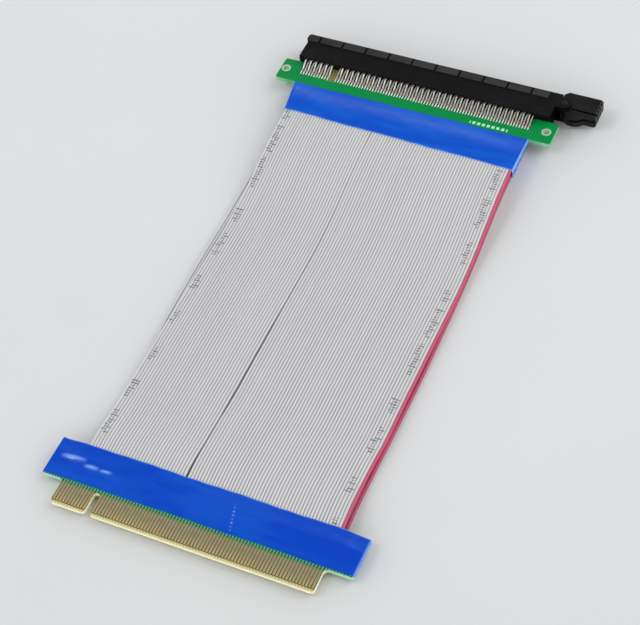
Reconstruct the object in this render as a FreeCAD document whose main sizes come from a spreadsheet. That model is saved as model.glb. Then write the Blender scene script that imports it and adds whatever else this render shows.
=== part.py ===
"""Flat ribbon extension lead: an edge plug board, four grey ribbons and a card slot on its own board.

X runs across the lead, along both connectors, with the short end of the keyed edge at -X.
Y runs along the lead, from the tip of the plug at -Y to the mouth of the slot at +Y.
Z is up, and the lead lies on the surface z = 0. The origin is under the middle of the whole lead.
"""
import FreeCAD, Part
import math
import os
import Sketcher

DIMENSIONS = (
    ("board_thick", 1.6, "thickness of both circuit boards"),
    ("board_wide", 100.0, "width of both boards, end to end"),
    ("board_shift", 0.75, "how far each board's middle lies to +X of its connector's middle"),
    ("corner_round", 0.8, "rounding of the boards' corners"),
    ("tip_round", 1.0, "rounding of the tongue's corners at its tip and at the notch"),
    ("shoulder_round", 1.5, "rounding between the tongue's sides and the board's shoulders"),
    ("pin_pitch", 1.0, "spacing of the connector's pins along one side"),
    ("short_bank_first", -41.5, "first pin of the short bank, from the connector's middle"),
    ("long_bank_first", -28.5, "first pin of the long bank, from the connector's middle"),
    ("key_middle", -30.0, "middle of the key, from the connector's middle"),
    ("plug_x", -2.25, "middle of the plug"),
    ("tongue_tip_y", -101.9, "tip of the plug's tongue"),
    ("tongue_wide", 84.3, "width of the tongue"),
    ("tongue_tall", 8.25, "height of the tongue below the board's shoulders"),
    ("key_wide", 1.9, "width of the key notch"),
    ("key_deep", 7.4, "depth of the key notch"),
    ("bevel_long", 0.9, "length of the bevel on the tongue's tip"),
    ("bevel_deep", 0.4, "depth of that bevel on each face"),
    ("plug_board_deep", 12.0, "height of the plug board above the tongue"),
    ("finger_wide", 0.7, "width of a gold finger"),
    ("finger_tall", 6.5, "height of a gold finger"),
    ("finger_from_tip", 1.1, "distance of a gold finger from the tip"),
    ("finger_thick", 0.05, "thickness of the gold and its copper"),
    ("ribbon_thick", 0.9, "thickness of a ribbon"),
    ("left_wires", 32.0, "wires in a left ribbon"),
    ("right_wires", 50.0, "wires in a right ribbon"),
    ("wire_pitch", 1.0, "spacing of the wires in a ribbon"),
    ("ribbon_slit", 0.3, "gap between a left and a right ribbon"),
    ("ribbon_shift", 1.6, "middle of the ribbons at the plug, from the plug's middle"),
    ("ribbon_skew", 1.2, "angle at which the ribbons run across to -X, in degrees"),
    ("ribbon_start", 3.4, "end of the ribbons above the plug board's shoulder"),
    ("ribbon_end", 15.3, "end of the ribbons before the slot"),
    ("plug_flat", 10.0, "straight run of a ribbon on the plug board"),
    ("plug_fall", 20.0, "run in which a ribbon comes down from the plug board"),
    ("socket_rise", 50.0, "run in which a ribbon goes up to the slot's board"),
    ("socket_flat", 11.5, "straight run of a ribbon on the slot's board"),
    ("layer_gap", 0.05, "gap between the two layers of ribbon"),
    ("film_thick", 0.12, "thickness of the insulating tape"),
    ("plug_tape_near", 0.25, "near edge of the plug's tape above the board's shoulder"),
    ("plug_tape_step", 3.2, "place where the plug's tape has climbed onto the ribbons"),
    ("plug_tape_far", 12.5, "far edge of the plug's tape"),
    ("tape_slope", 0.9, "width of the plug tape's slope beside the ribbons"),
    ("tape_clear", 0.3, "room between the tape's slope and the ribbons"),
    ("socket_tape_near", 24.0, "near edge of the slot's tape before the slot"),
    ("socket_tape_step", 13.6, "place where the slot's tape comes down off the ribbons"),
    ("socket_tape_far", 10.6, "far edge of the slot's tape before the slot"),
    ("wrap_slope", 0.35, "width of the slope where the slot's tape wraps down beside the ribbons"),
    ("tape_margin", 0.15, "width of the tape's glued edge beside the slot's ribbons"),
    ("socket_x", -6.1, "middle of the slot"),
    ("mouth_y", 99.5, "mouth of the slot"),
    ("slot_deep", 11.25, "depth of the slot's housing"),
    ("slot_high", 7.5, "height of the housing over its raised pads"),
    ("slot_left", 44.2, "left end of the housing's block from its middle"),
    ("slot_right", 47.15, "right end of the housing's block from its middle"),
    ("pad_raise", 0.35, "height of the raised pads on the housing's sides"),
    ("pad_tall", 3.4, "height of the raised pads, down from the mouth"),
    ("pad_pitch", 8.67, "spacing of the raised pads"),
    ("pad_gap", 0.8, "gap between two raised pads"),
    ("pad_first", -39.85, "left end of the first long pad from the housing's middle"),
    ("pad_last_long", 5.6, "length of the short pad beside the latch"),
    ("card_wide", 1.8, "width of the card opening"),
    ("card_deep", 8.4, "depth of the card opening"),
    ("card_half", 42.6, "half length of the card opening"),
    ("key_web", 1.6, "thickness of the key across the card opening"),
    ("lead_in", 0.5, "chamfer round the card opening"),
    ("cell_wide", 0.62, "width of a contact's cell"),
    ("cell_inner", 0.75, "inner wall of a cell from the middle plane"),
    ("cell_outer", 2.75, "outer wall of a cell from the middle plane"),
    ("cell_deep", 10.2, "depth of a cell from the housing's underside"),
    ("collar_thick", 0.9, "thickness of the collar on the housing's left end"),
    ("collar_chamfer", 0.6, "chamfer of the collar's corner at the mouth"),
    ("board_gap", 0.1, "gap between the slot's board and its housing"),
    ("tab_deep", 9.7, "depth of the board's tabs from the housing"),
    ("neck_deep", 21.8, "depth of the board under the tape from the housing"),
    ("hole_left", -47.3, "left screw hole from the slot's middle"),
    ("hole_spacing", 95.1, "distance between the two screw holes"),
    ("hole_drop", 4.7, "distance of the screw holes from the housing"),
    ("hole_radius", 1.1, "radius of the plated screw hole"),
    ("plating_thick", 0.05, "thickness of the plating in the hole and of its rings"),
    ("ring_radius", 1.65, "outer radius of the plated rings"),
    ("contact_wide", 0.45, "width of a contact"),
    ("contact_thick", 0.25, "thickness of a contact"),
    ("tail_end", 4.6, "end of a contact's tail before the housing"),
    ("foot_long", 1.3, "length of an outer tail's flat foot"),
    ("outer_bend", 0.6, "bend of an outer tail before the housing"),
    ("outer_exit", 2.5, "outer tail's height over the middle plane at its bend"),
    ("inner_bend", 0.4, "bend of an inner tail before the housing"),
    ("inner_exit", 1.9, "inner tail's height over the middle plane at its bend"),
    ("touch_up", 9.0, "height of the touching point above the housing's underside"),
    ("touch_out", 0.62, "touching point's distance from the middle plane"),
    ("pivot_u", 49.9, "latch pivot to +X of the slot's middle"),
    ("pivot_v", 7.75, "latch pivot above the housing's underside"),
    ("pivot_radius", 1.0, "radius of the latch's two trunnions"),
    ("pivot_play", 0.05, "play of the trunnions in their holes"),
    ("cheek_radius", 2.4, "rounding of the two cheeks that hold the latch"),
    ("cheek_shoulder", 48.3, "right end of the cheeks at the mouth, from the slot's middle"),
    ("cheek_root", 46.9, "bottom of the gap between the cheeks, from the slot's middle"),
    ("cheek_gap", 2.65, "inner face of a cheek from the middle plane"),
    ("latch_half", 2.5, "half thickness of the latch"),
    ("latch_outer", 11.55, "outer end of the latch's tab from the pivot"),
    ("latch_low", -2.4, "lower side of the tab from the pivot"),
    ("latch_top", 5.9, "upper side of the tab from the pivot"),
    ("hook_reach", 1.6, "reach of the hook past the pivot, towards the slot"),
    ("hook_slope", 1.3, "width and height of the slope on top of the hook"),
    ("root_radius", 2.3, "radius of the latch's root"),
    ("heel_radius", 4.6, "radius of the latch's rounded heel"),
    ("heel_x", 3.6, "middle of the heel's rounding to +X of the pivot"),
    ("heel_y", 0.35, "middle of the heel's rounding above the pivot"),
    ("tab_chamfer", 0.7, "chamfer of the tab's outer end"),
    ("groove_wide", 0.9, "width of the tab's finger grooves"),
    ("groove_deep", 0.6, "depth of the tab's finger grooves and of the slots in its end"),
    ("groove_low", -1.8, "lower side of the grooves in the tab's faces, from the pivot"),
    ("groove_start", 2.8, "inner end of the finger grooves from the pivot"),
)

SHORT_BANK_PINS = 11
LONG_BANK_PINS = 71
LONG_PADS = 9
END_SLOTS = 4
TOUCHING = 1e-6
PARTS_FOLDER = "parts"


class Size:
    """A size in millimetres that keeps its number together with the sheet expression behind it."""

    def __init__(self, number, text):
        self.number = number
        self.text = text

    @staticmethod
    def of(value):
        """Return value as a Size, wrapping a bare number."""
        if isinstance(value, Size):
            return value
        return Size(float(value), f"({float(value)!r})")

    def __add__(self, other):
        other = Size.of(other)
        return Size(self.number + other.number, f"({self.text} + {other.text})")

    def __sub__(self, other):
        other = Size.of(other)
        return Size(self.number - other.number, f"({self.text} - {other.text})")

    def __mul__(self, factor):
        factor = Size.of(factor)
        return Size(self.number * factor.number, f"({self.text} * {factor.text})")

    def __truediv__(self, divisor):
        divisor = Size.of(divisor)
        return Size(self.number / divisor.number, f"({self.text} / {divisor.text})")

    def __neg__(self):
        return Size(-self.number, f"(0 - {self.text})")


class Sheet:
    """The driving dimensions: one sheet row each, read back as attributes that are sizes."""

    def __init__(self, document):
        cells = document.addObject("Spreadsheet::Sheet", "Dimensions")
        for row, (alias, number, meaning) in enumerate(DIMENSIONS, start=1):
            cells.set(f"A{row}", meaning)
            cells.set(f"B{row}", str(number))
            cells.setAlias(f"B{row}", alias)
            setattr(self, alias, Size(float(number), f"Dimensions.{alias}"))


doc = FreeCAD.newDocument("ExtensionLead")
dim = Sheet(doc)
doc.recompute()
ZERO = Size.of(0)
sub_parts = []


def bind(item, name, size):
    """Tie one property of an object to the sheet."""
    item.setExpression(name, size.text)


def place(item, x, y, z):
    """Tie an object's place to the sheet."""
    item.Placement = FreeCAD.Placement(FreeCAD.Vector(x.number, y.number, z.number), FreeCAD.Rotation())
    bind(item, "Placement.Base.x", x)
    bind(item, "Placement.Base.y", y)
    bind(item, "Placement.Base.z", z)


def new_body(label, x, y, z):
    """Start a sub-part: a body with its own name and place."""
    body = doc.addObject("PartDesign::Body", label)
    body.Label = label
    body.AllowCompound = True
    place(body, x, y, z)
    sub_parts.append(body)
    return body


def origin_of(body, role):
    """Find one of the body's own origin planes or axes."""
    return next(item for item in body.Origin.OriginFeatures if item.Role == role)


def new_sketch(body, role, lift=ZERO):
    """Start a sketch on one of the body's origin planes, lifted along the plane's normal."""
    sketch = body.newObject("Sketcher::SketchObject", f"{body.Name}_sketch")
    sketch.AttachmentSupport = [(origin_of(body, role), "")]
    sketch.MapMode = "FlatFace"
    sketch.AttachmentOffset = FreeCAD.Placement(FreeCAD.Vector(0, 0, lift.number), FreeCAD.Rotation())
    bind(sketch, "AttachmentOffset.Base.z", lift)
    return sketch


def pin_point(sketch, geometry, end, x, y):
    """Hold one point of a sketch at sizes from the sketch's origin."""
    for kind, size in (("DistanceX", x), ("DistanceY", y)):
        index = sketch.addConstraint(Sketcher.Constraint(kind, -1, 1, geometry, end, size.number))
        bind(sketch, f"Constraints[{index}]", size)


def add_polygon(sketch, corners):
    """Add a closed straight-sided outline whose corners are all tied to the sheet."""
    corners = [(Size.of(x), Size.of(y)) for x, y in corners]
    points = [FreeCAD.Vector(x.number, y.number, 0) for x, y in corners]
    first = sketch.GeometryCount
    count = len(points)
    for index in range(count):
        sketch.addGeometry(Part.LineSegment(points[index], points[(index + 1) % count]), False)
    for index in range(count):
        following = first + (index + 1) % count
        sketch.addConstraint(Sketcher.Constraint("Coincident", first + index, 2, following, 1))
    for index, (x, y) in enumerate(corners):
        pin_point(sketch, first + index, 1, x, y)


def add_rectangle(sketch, left, low, right, high):
    """Add a rectangle between two opposite corners."""
    add_polygon(sketch, [(left, low), (right, low), (right, high), (left, high)])


def add_circle(sketch, x, y, radius):
    """Add a circle tied to the sheet."""
    x, y = Size.of(x), Size.of(y)
    middle = FreeCAD.Vector(x.number, y.number, 0)
    circle = sketch.addGeometry(Part.Circle(middle, FreeCAD.Vector(0, 0, 1), radius.number), False)
    pin_point(sketch, circle, 3, x, y)
    index = sketch.addConstraint(Sketcher.Constraint("Radius", circle, radius.number))
    bind(sketch, f"Constraints[{index}]", radius)


def volume_of(body):
    """Volume of the body as built so far."""
    doc.recompute()
    return body.Shape.Volume


def pad(body, sketch, length, both_sides=False, backwards=False):
    """Raise a sketch into a solid."""
    feature = body.newObject("PartDesign::Pad", f"{body.Name}_pad")
    feature.Profile = sketch
    feature.SideType = "Symmetric" if both_sides else "One side"
    feature.Reversed = backwards
    bind(feature, "Length", length)
    doc.recompute()
    return feature


def pocket(body, sketch, length, both_sides=False, backwards=False):
    """Cut a sketch out of the body, and make sure that something was cut."""
    before = volume_of(body)
    feature = body.newObject("PartDesign::Pocket", f"{body.Name}_pocket")
    feature.Profile = sketch
    feature.SideType = "Symmetric" if both_sides else "One side"
    feature.Reversed = backwards
    bind(feature, "Length", length)
    if volume_of(body) >= before:
        raise RuntimeError(f"a pocket in {body.Label} cuts nothing")
    return feature


def repeat(body, features, pitch, count):
    """Repeat features along X at an even pitch."""
    pattern = body.newObject("PartDesign::LinearPattern", f"{body.Name}_row")
    pattern.Originals = features
    pattern.Direction = (origin_of(body, "X_Axis"), [""])
    pattern.Mode = "Spacing"
    pattern.Occurrences = count
    bind(pattern, "Offset", pitch)
    body.Tip = pattern
    doc.recompute()
    return pattern


def edges_where(feature, test):
    """Names of the feature's edges whose two end points pass a test."""
    names = []
    for index, edge in enumerate(feature.Shape.Edges, start=1):
        ends = [vertex.Point for vertex in edge.Vertexes]
        if len(ends) == 2 and test(ends[0], ends[1]):
            names.append(f"Edge{index}")
    return names


def upright_at(places):
    """Test for an upright edge that stands at one of some places in plan."""
    def test(start, end):
        if math.hypot(start.x - end.x, start.y - end.y) > TOUCHING:
            return False
        return any(math.hypot(start.x - x.number, start.y - y.number) < TOUCHING for x, y in places)
    return test


def round_edges(body, feature, names, radius):
    """Round some edges of the feature."""
    fillet = body.newObject("PartDesign::Fillet", f"{body.Name}_round")
    fillet.Base = (feature, names)
    bind(fillet, "Radius", radius)
    doc.recompute()
    return fillet


def chamfer_edges(body, feature, names, size):
    """Chamfer some edges of the feature."""
    chamfer = body.newObject("PartDesign::Chamfer", f"{body.Name}_chamfer")
    chamfer.Base = (feature, names)
    bind(chamfer, "Size", size)
    doc.recompute()
    return chamfer


def strip_outline(path, thick):
    """Outline of a bent strip: the path's points moved half the thickness to each side.

    Each point moves along the line that halves the angle of its bend, so the strip keeps its thickness.
    """
    runs = [(path[i + 1][0] - path[i][0], path[i + 1][1] - path[i][1]) for i in range(len(path) - 1)]
    normals = []
    for across, up in runs:
        length = math.hypot(across.number, up.number)
        normals.append((-up.number / length, across.number / length))
    sides = ([], [])
    for index, (x, y) in enumerate(path):
        before = normals[max(index - 1, 0)]
        after = normals[min(index, len(normals) - 1)]
        mean = (before[0] + after[0], before[1] + after[1])
        scale = 1.0 / (1.0 + before[0] * after[0] + before[1] * after[1])
        for side, half in zip(sides, (thick / 2, -thick / 2)):
            side.append((x + half * (mean[0] * scale), y + half * (mean[1] * scale)))
    return sides[0] + sides[1][::-1]


ribbon_wide = (dim.left_wires + dim.right_wires) * dim.wire_pitch + dim.ribbon_slit
plug_shoulder_y = dim.tongue_tip_y + dim.tongue_tall
plug_board_z = dim.film_thick + dim.ribbon_thick
underside_y = dim.mouth_y - dim.slot_deep
middle_z = dim.slot_high / 2
socket_board_z = middle_z - dim.board_thick / 2
plug_ribbon_left = dim.plug_x + dim.ribbon_shift - ribbon_wide / 2
ribbon_run = underside_y - dim.ribbon_end - plug_shoulder_y - dim.ribbon_start
ribbon_drift = ribbon_run * math.tan(math.radians(dim.ribbon_skew.number))
socket_ribbon_left = plug_ribbon_left - ribbon_drift


def build_plug_board():
    """Circuit board of the plug: a wide board with a keyed, bevelled tongue."""
    half = dim.tongue_wide / 2
    key_left = dim.key_middle - dim.key_wide / 2
    key_right = dim.key_middle + dim.key_wide / 2
    left = dim.board_shift - dim.board_wide / 2
    right = dim.board_shift + dim.board_wide / 2
    shoulder = dim.tongue_tall
    top = shoulder + dim.plug_board_deep
    body = new_body("plug_board", dim.plug_x, dim.tongue_tip_y, plug_board_z)
    outline = new_sketch(body, "XY_Plane")
    add_polygon(outline, [
        (-half, ZERO), (key_left, ZERO), (key_left, dim.key_deep), (key_right, dim.key_deep),
        (key_right, ZERO), (half, ZERO), (half, shoulder), (right, shoulder),
        (right, top), (left, top), (left, shoulder), (-half, shoulder)])
    plate = pad(body, outline, dim.board_thick)
    board_corners = [(right, shoulder), (left, shoulder), (right, top), (left, top),
                     (key_left, dim.key_deep), (key_right, dim.key_deep)]
    tip_corners = [(-half, ZERO), (key_left, ZERO), (key_right, ZERO), (half, ZERO)]
    shoulder_corners = [(-half, shoulder), (half, shoulder)]
    for corners, radius in ((board_corners, dim.corner_round), (tip_corners, dim.tip_round),
                            (shoulder_corners, dim.shoulder_round)):
        plate = round_edges(body, plate, edges_where(plate, upright_at(corners)), radius)
    wedge = new_sketch(body, "YZ_Plane")
    thick = dim.board_thick
    add_polygon(wedge, [(ZERO, thick - dim.bevel_deep), (dim.bevel_long, thick), (ZERO, thick)])
    add_polygon(wedge, [(ZERO, ZERO), (dim.bevel_long, ZERO), (ZERO, dim.bevel_deep)])
    pocket(body, wedge, dim.board_wide, both_sides=True)


def build_fingers(label, on_top):
    """Gold fingers on one face of the tongue, in a short and a long bank."""
    body = new_body(label, dim.plug_x, dim.tongue_tip_y, plug_board_z)
    face = dim.board_thick if on_top else ZERO
    low = dim.finger_from_tip
    high = low + dim.finger_tall
    for first, count in ((dim.short_bank_first, SHORT_BANK_PINS), (dim.long_bank_first, LONG_BANK_PINS)):
        outline = new_sketch(body, "XY_Plane", face)
        add_rectangle(outline, first - dim.finger_wide / 2, low, first + dim.finger_wide / 2, high)
        finger = pad(body, outline, dim.finger_thick, backwards=not on_top)
        repeat(body, [finger], dim.pin_pitch, count)


def add_run(sketch, start, end):
    """Add one level run of a ribbon's path, held at both ends, and return its index."""
    level = start[1]
    points = [FreeCAD.Vector(y.number, level.number, 0) for y in (start[0], end[0])]
    run = sketch.addGeometry(Part.LineSegment(points[0], points[1]), False)
    pin_point(sketch, run, 1, start[0], level)
    index = sketch.addConstraint(Sketcher.Constraint("DistanceX", -1, 1, run, 2, end[0].number))
    bind(sketch, f"Constraints[{index}]", end[0])
    sketch.addConstraint(Sketcher.Constraint("Horizontal", run))
    return run


def add_bend(sketch, before, after, start, end):
    """Join two level runs at different heights by two equal arcs, tangent to the runs and each other."""
    length = end[0].number - start[0].number
    height = end[1].number - start[1].number
    radius = (length ** 2 + height ** 2) / (4 * abs(height))
    turn = math.asin(length / 2 / radius)
    rising = height > 0
    upright = math.pi / 2
    middles = [FreeCAD.Vector(start[0].number, start[1].number + math.copysign(radius, height), 0),
               FreeCAD.Vector(end[0].number, end[1].number - math.copysign(radius, height), 0)]
    spans = [(-upright, turn - upright), (upright, upright + turn)]
    if not rising:
        spans = [(upright - turn, upright), (-upright - turn, -upright)]
    arcs = []
    for middle, (low, high) in zip(middles, spans):
        circle = Part.Circle(middle, FreeCAD.Vector(0, 0, 1), radius)
        arcs.append(sketch.addGeometry(Part.ArcOfCircle(circle, low, high), False))
    outer, inner = (1, 2) if rising else (2, 1)
    sketch.addConstraint(Sketcher.Constraint("Tangent", before, 2, arcs[0], outer))
    sketch.addConstraint(Sketcher.Constraint("Tangent", arcs[0], inner, arcs[1], inner))
    sketch.addConstraint(Sketcher.Constraint("Tangent", arcs[1], outer, after, 1))
    sketch.addConstraint(Sketcher.Constraint("Equal", arcs[0], arcs[1]))


def build_ribbon(label, left, wires, levels):
    """One flat ribbon: a thin oblong carried along its path, from board to board.

    levels are the heights of the ribbon's middle on the plug board, on the table and on the slot's board.
    """
    body = new_body(label, left, plug_shoulder_y + dim.ribbon_start, levels[0])
    half = dim.ribbon_thick / 2
    section = new_sketch(body, "XZ_Plane")
    add_rectangle(section, ZERO, -half, wires * dim.wire_pitch, half)
    path = new_sketch(body, "YZ_Plane")
    path.AttachmentOffset = FreeCAD.Placement(
        FreeCAD.Vector(), FreeCAD.Rotation(FreeCAD.Vector(0, 1, 0), dim.ribbon_skew.number))
    bind(path, "AttachmentOffset.Rotation.Angle", dim.ribbon_skew)
    table = levels[1] - levels[0]
    socket = levels[2] - levels[0]
    fallen = dim.plug_flat + dim.plug_fall
    risen = ribbon_run - dim.socket_flat
    stations = [(ZERO, ZERO), (dim.plug_flat, ZERO), (fallen, table), (risen - dim.socket_rise, table),
                (risen, socket), (ribbon_run, socket)]
    runs = [add_run(path, stations[i], stations[i + 1]) for i in (0, 2, 4)]
    add_bend(path, runs[0], runs[1], stations[1], stations[2])
    add_bend(path, runs[1], runs[2], stations[3], stations[4])
    doc.recompute()
    pipe = body.newObject("PartDesign::AdditivePipe", f"{label}_pipe")
    pipe.Profile = section
    pipe.Spine = (path, [])
    pipe.Mode = "Fixed"
    doc.recompute()
    return pipe


def build_tape(label, place_at, up, stations, sides):
    """A strip of insulating tape that climbs over the ribbons, made of straight-edged cross-sections.

    stations are pairs of a place along Y and the height of the tape there over the ribbons' board.
    sides give the left edge, foot and shoulder, the right shoulder, foot and edge, and the feet's height.
    """
    body = new_body(label, *place_at)
    left_edge, left_foot, left_top, right_top, right_foot, right_edge, foot_z = sides
    sections = []
    for y, height in stations:
        across = [(left_edge, foot_z), (left_foot, foot_z), (left_top, height),
                  (right_top, height), (right_foot, foot_z), (right_edge, foot_z)]
        below = [(x, z * up) for x, z in across]
        above = [(x, (z + dim.film_thick) * up) for x, z in across]
        section = new_sketch(body, "XZ_Plane", -y)
        add_polygon(section, below + above[::-1])
        sections.append(section)
    doc.recompute()
    loft = body.newObject("PartDesign::AdditiveLoft", f"{label}_loft")
    loft.Profile = sections[0]
    loft.Sections = sections[1:]
    loft.Ruled = True
    doc.recompute()


def build_plug_tape(label, up):
    """Tape on one face of the plug board, from end to end of the board."""
    face = plug_board_z + dim.board_thick if up > 0 else plug_board_z
    left = dim.board_shift - dim.board_wide / 2
    right = dim.board_shift + dim.board_wide / 2
    ribbon_left = plug_ribbon_left - dim.plug_x - dim.tape_clear
    ribbon_right = ribbon_left + ribbon_wide + dim.tape_clear * 2
    stations = [(dim.plug_tape_near, ZERO), (dim.plug_tape_step, dim.ribbon_thick),
                (dim.plug_tape_far, dim.ribbon_thick)]
    sides = (left, ribbon_left - dim.tape_slope, ribbon_left, ribbon_right,
             ribbon_right + dim.tape_slope, right, ZERO)
    build_tape(label, (dim.plug_x, plug_shoulder_y, face), up, stations, sides)


def build_socket_tape(label, up):
    """Tape on one face of the slot's board: its two edges are glued to the tape on the other face."""
    face = socket_board_z + dim.board_thick if up > 0 else socket_board_z
    ribbon_left = socket_ribbon_left - dim.socket_x - dim.tape_clear
    ribbon_right = ribbon_left + ribbon_wide + dim.tape_clear * 2
    stations = [(-dim.socket_tape_near, dim.ribbon_thick), (-dim.socket_tape_step, dim.ribbon_thick),
                (-dim.socket_tape_far, ZERO)]
    left_foot = ribbon_left - dim.wrap_slope
    right_foot = ribbon_right + dim.wrap_slope
    sides = (left_foot - dim.tape_margin, left_foot, ribbon_left, ribbon_right, right_foot,
             right_foot + dim.tape_margin, -dim.board_thick / 2)
    build_tape(label, (dim.socket_x, underside_y, face), up, stations, sides)


def build_socket_board():
    """Circuit board of the slot: two tabs with screw holes, and a neck under the tape."""
    left = dim.board_shift - dim.board_wide / 2
    right = dim.board_shift + dim.board_wide / 2
    neck_left = socket_ribbon_left - dim.socket_x
    neck_right = neck_left + ribbon_wide
    top = -dim.board_gap
    body = new_body("socket_board", dim.socket_x, underside_y, socket_board_z)
    outline = new_sketch(body, "XY_Plane")
    add_polygon(outline, [
        (left, top), (left, -dim.tab_deep), (neck_left, -dim.tab_deep), (neck_left, -dim.neck_deep),
        (neck_right, -dim.neck_deep), (neck_right, -dim.tab_deep), (right, -dim.tab_deep), (right, top)])
    plate = pad(body, outline, dim.board_thick)
    corners = [(left, top), (left, -dim.tab_deep), (right, top), (right, -dim.tab_deep)]
    round_edges(body, plate, edges_where(plate, upright_at(corners)), dim.corner_round)
    holes = new_sketch(body, "XY_Plane")
    for x in (dim.hole_left, dim.hole_left + dim.hole_spacing):
        add_circle(holes, x, -dim.hole_drop, dim.hole_radius + dim.plating_thick)
    pocket(body, holes, dim.board_thick, backwards=True)


def build_hole_plating():
    """Plated lining of the two screw holes, with a ring on each face of the board."""
    body = new_body("hole_plating", dim.socket_x + dim.hole_left, underside_y - dim.hole_drop, socket_board_z)
    inside = dim.hole_radius
    wall = inside + dim.plating_thick
    top = dim.board_thick
    profile = new_sketch(body, "XZ_Plane")
    add_polygon(profile, [
        (inside, -dim.plating_thick), (dim.ring_radius, -dim.plating_thick), (dim.ring_radius, ZERO),
        (wall, ZERO), (wall, top), (dim.ring_radius, top), (dim.ring_radius, top + dim.plating_thick),
        (inside, top + dim.plating_thick)])
    lining = body.newObject("PartDesign::Revolution", "hole_plating_turn")
    lining.Profile = profile
    lining.ReferenceAxis = (profile, ["V_Axis"])
    lining.Angle = 360
    doc.recompute()
    repeat(body, [lining], dim.hole_spacing, 2)


def build_housing():
    """Moulded housing of the slot: raised pads, keyed card opening, contact cells and latch cheeks."""
    half = dim.slot_high / 2 - dim.pad_raise
    full = half * 2
    body = new_body("slot_housing", dim.socket_x, underside_y, middle_z)
    block = new_sketch(body, "YZ_Plane", -dim.slot_left)
    add_rectangle(block, ZERO, -half, dim.slot_deep, half)
    pad(body, block, dim.slot_left + dim.slot_right)
    add_collar(body, full)
    add_cheeks(body, full)
    add_raised_pads(body, half)
    cut_card_opening(body)
    cut_cells(body)
    cut_latch_gap(body, full)


def add_collar(body, full):
    """Thicken the housing's left end beside the mouth by a collar with a sloped foot."""
    collar = new_sketch(body, "XY_Plane")
    inner = -dim.slot_left
    outer = inner - dim.collar_thick
    foot = dim.slot_deep - dim.pad_tall
    add_polygon(collar, [
        (inner, foot), (inner, dim.slot_deep), (outer + dim.collar_chamfer, dim.slot_deep),
        (outer, dim.slot_deep - dim.collar_chamfer), (outer, foot + dim.collar_thick)])
    pad(body, collar, full, both_sides=True)


def add_cheeks(body, full):
    """Extend the housing's right end by a rounded boss, which the latch's gap later splits in two."""
    low = dim.pivot_v - dim.cheek_radius
    high = dim.pivot_v + dim.cheek_radius
    boss = new_sketch(body, "XY_Plane")
    add_polygon(boss, [
        (dim.cheek_root, low), (dim.pivot_u, low), (dim.pivot_u, high), (dim.cheek_shoulder, high),
        (dim.cheek_shoulder, dim.slot_deep), (dim.cheek_root, dim.slot_deep)])
    pad(body, boss, full, both_sides=True)
    nose = new_sketch(body, "XY_Plane")
    add_circle(nose, dim.pivot_u, dim.pivot_v, dim.cheek_radius)
    pad(body, nose, full, both_sides=True)


def add_raised_pads(body, half):
    """Row of low pads with sloped edges along the mouth, on both sides of the housing."""
    long_pad = dim.pad_pitch - dim.pad_gap
    row_end = dim.pad_first + dim.pad_pitch * LONG_PADS
    left_end = dim.collar_chamfer - dim.collar_thick - dim.slot_left
    short_pads = [(left_end, dim.pad_first - dim.pad_gap - left_end),
                  (row_end, dim.pad_last_long)]
    for first, length in short_pads + [(dim.pad_first, long_pad)]:
        profile = new_sketch(body, "YZ_Plane", first)
        foot = dim.slot_deep - dim.pad_tall
        for up in (1, -1):
            add_polygon(profile, [
                (foot, half * up), (foot + dim.pad_raise, (half + dim.pad_raise) * up),
                (dim.slot_deep - dim.pad_raise, (half + dim.pad_raise) * up), (dim.slot_deep, half * up)])
        raised = pad(body, profile, length)
    repeat(body, [raised], dim.pad_pitch, LONG_PADS)


def cut_card_opening(body):
    """Opening for the card's edge, in two lengths on either side of the key, with a chamfered rim."""
    half = dim.card_wide / 2
    mouth = new_sketch(body, "XZ_Plane", -dim.slot_deep)
    key_left = dim.key_middle - dim.key_web / 2
    key_right = dim.key_middle + dim.key_web / 2
    add_rectangle(mouth, -dim.card_half, -half, key_left, half)
    add_rectangle(mouth, key_right, -half, dim.card_half, half)
    opening = pocket(body, mouth, dim.card_deep, backwards=True)

    def on_rim(start, end):
        return all(abs(point.y - dim.slot_deep.number) < TOUCHING
                   and abs(point.z) < half.number + TOUCHING for point in (start, end))
    chamfer_edges(body, opening, edges_where(opening, on_rim), dim.lead_in)


def cut_cells(body):
    """Room for the contacts: trenches along the underside, and a ribbed cell for each contact above them.

    The trenches reach up to the floor of the card opening, and the cells, which are open to the
    card opening, go on from there.
    """
    floor = dim.slot_deep - dim.card_deep
    for first, count in ((dim.short_bank_first, SHORT_BANK_PINS), (dim.long_bank_first, LONG_BANK_PINS)):
        left = first - dim.cell_wide / 2
        right = first + dim.cell_wide / 2
        trench = new_sketch(body, "XZ_Plane")
        cells = new_sketch(body, "XZ_Plane", -floor)
        for up in (1, -1):
            low, high = dim.cell_inner * up, dim.cell_outer * up
            add_rectangle(trench, left, low, right + dim.pin_pitch * (count - 1), high)
            add_rectangle(cells, left, low, right, high)
        pocket(body, trench, floor)
        pair = pocket(body, cells, dim.cell_deep - floor)
        repeat(body, [pair], dim.pin_pitch, count)


def cut_latch_gap(body, full):
    """Split the right end into two cheeks, and drill them for the latch's trunnions."""
    gap = new_sketch(body, "XY_Plane")
    add_rectangle(gap, dim.cheek_root, -dim.board_gap, dim.pivot_u + dim.cheek_radius * 2,
                  dim.slot_deep + dim.board_gap)
    pocket(body, gap, dim.cheek_gap * 2, both_sides=True)
    hole = new_sketch(body, "XY_Plane")
    add_circle(hole, dim.pivot_u, dim.pivot_v, dim.pivot_radius + dim.pivot_play)
    pocket(body, hole, full, both_sides=True)


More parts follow.
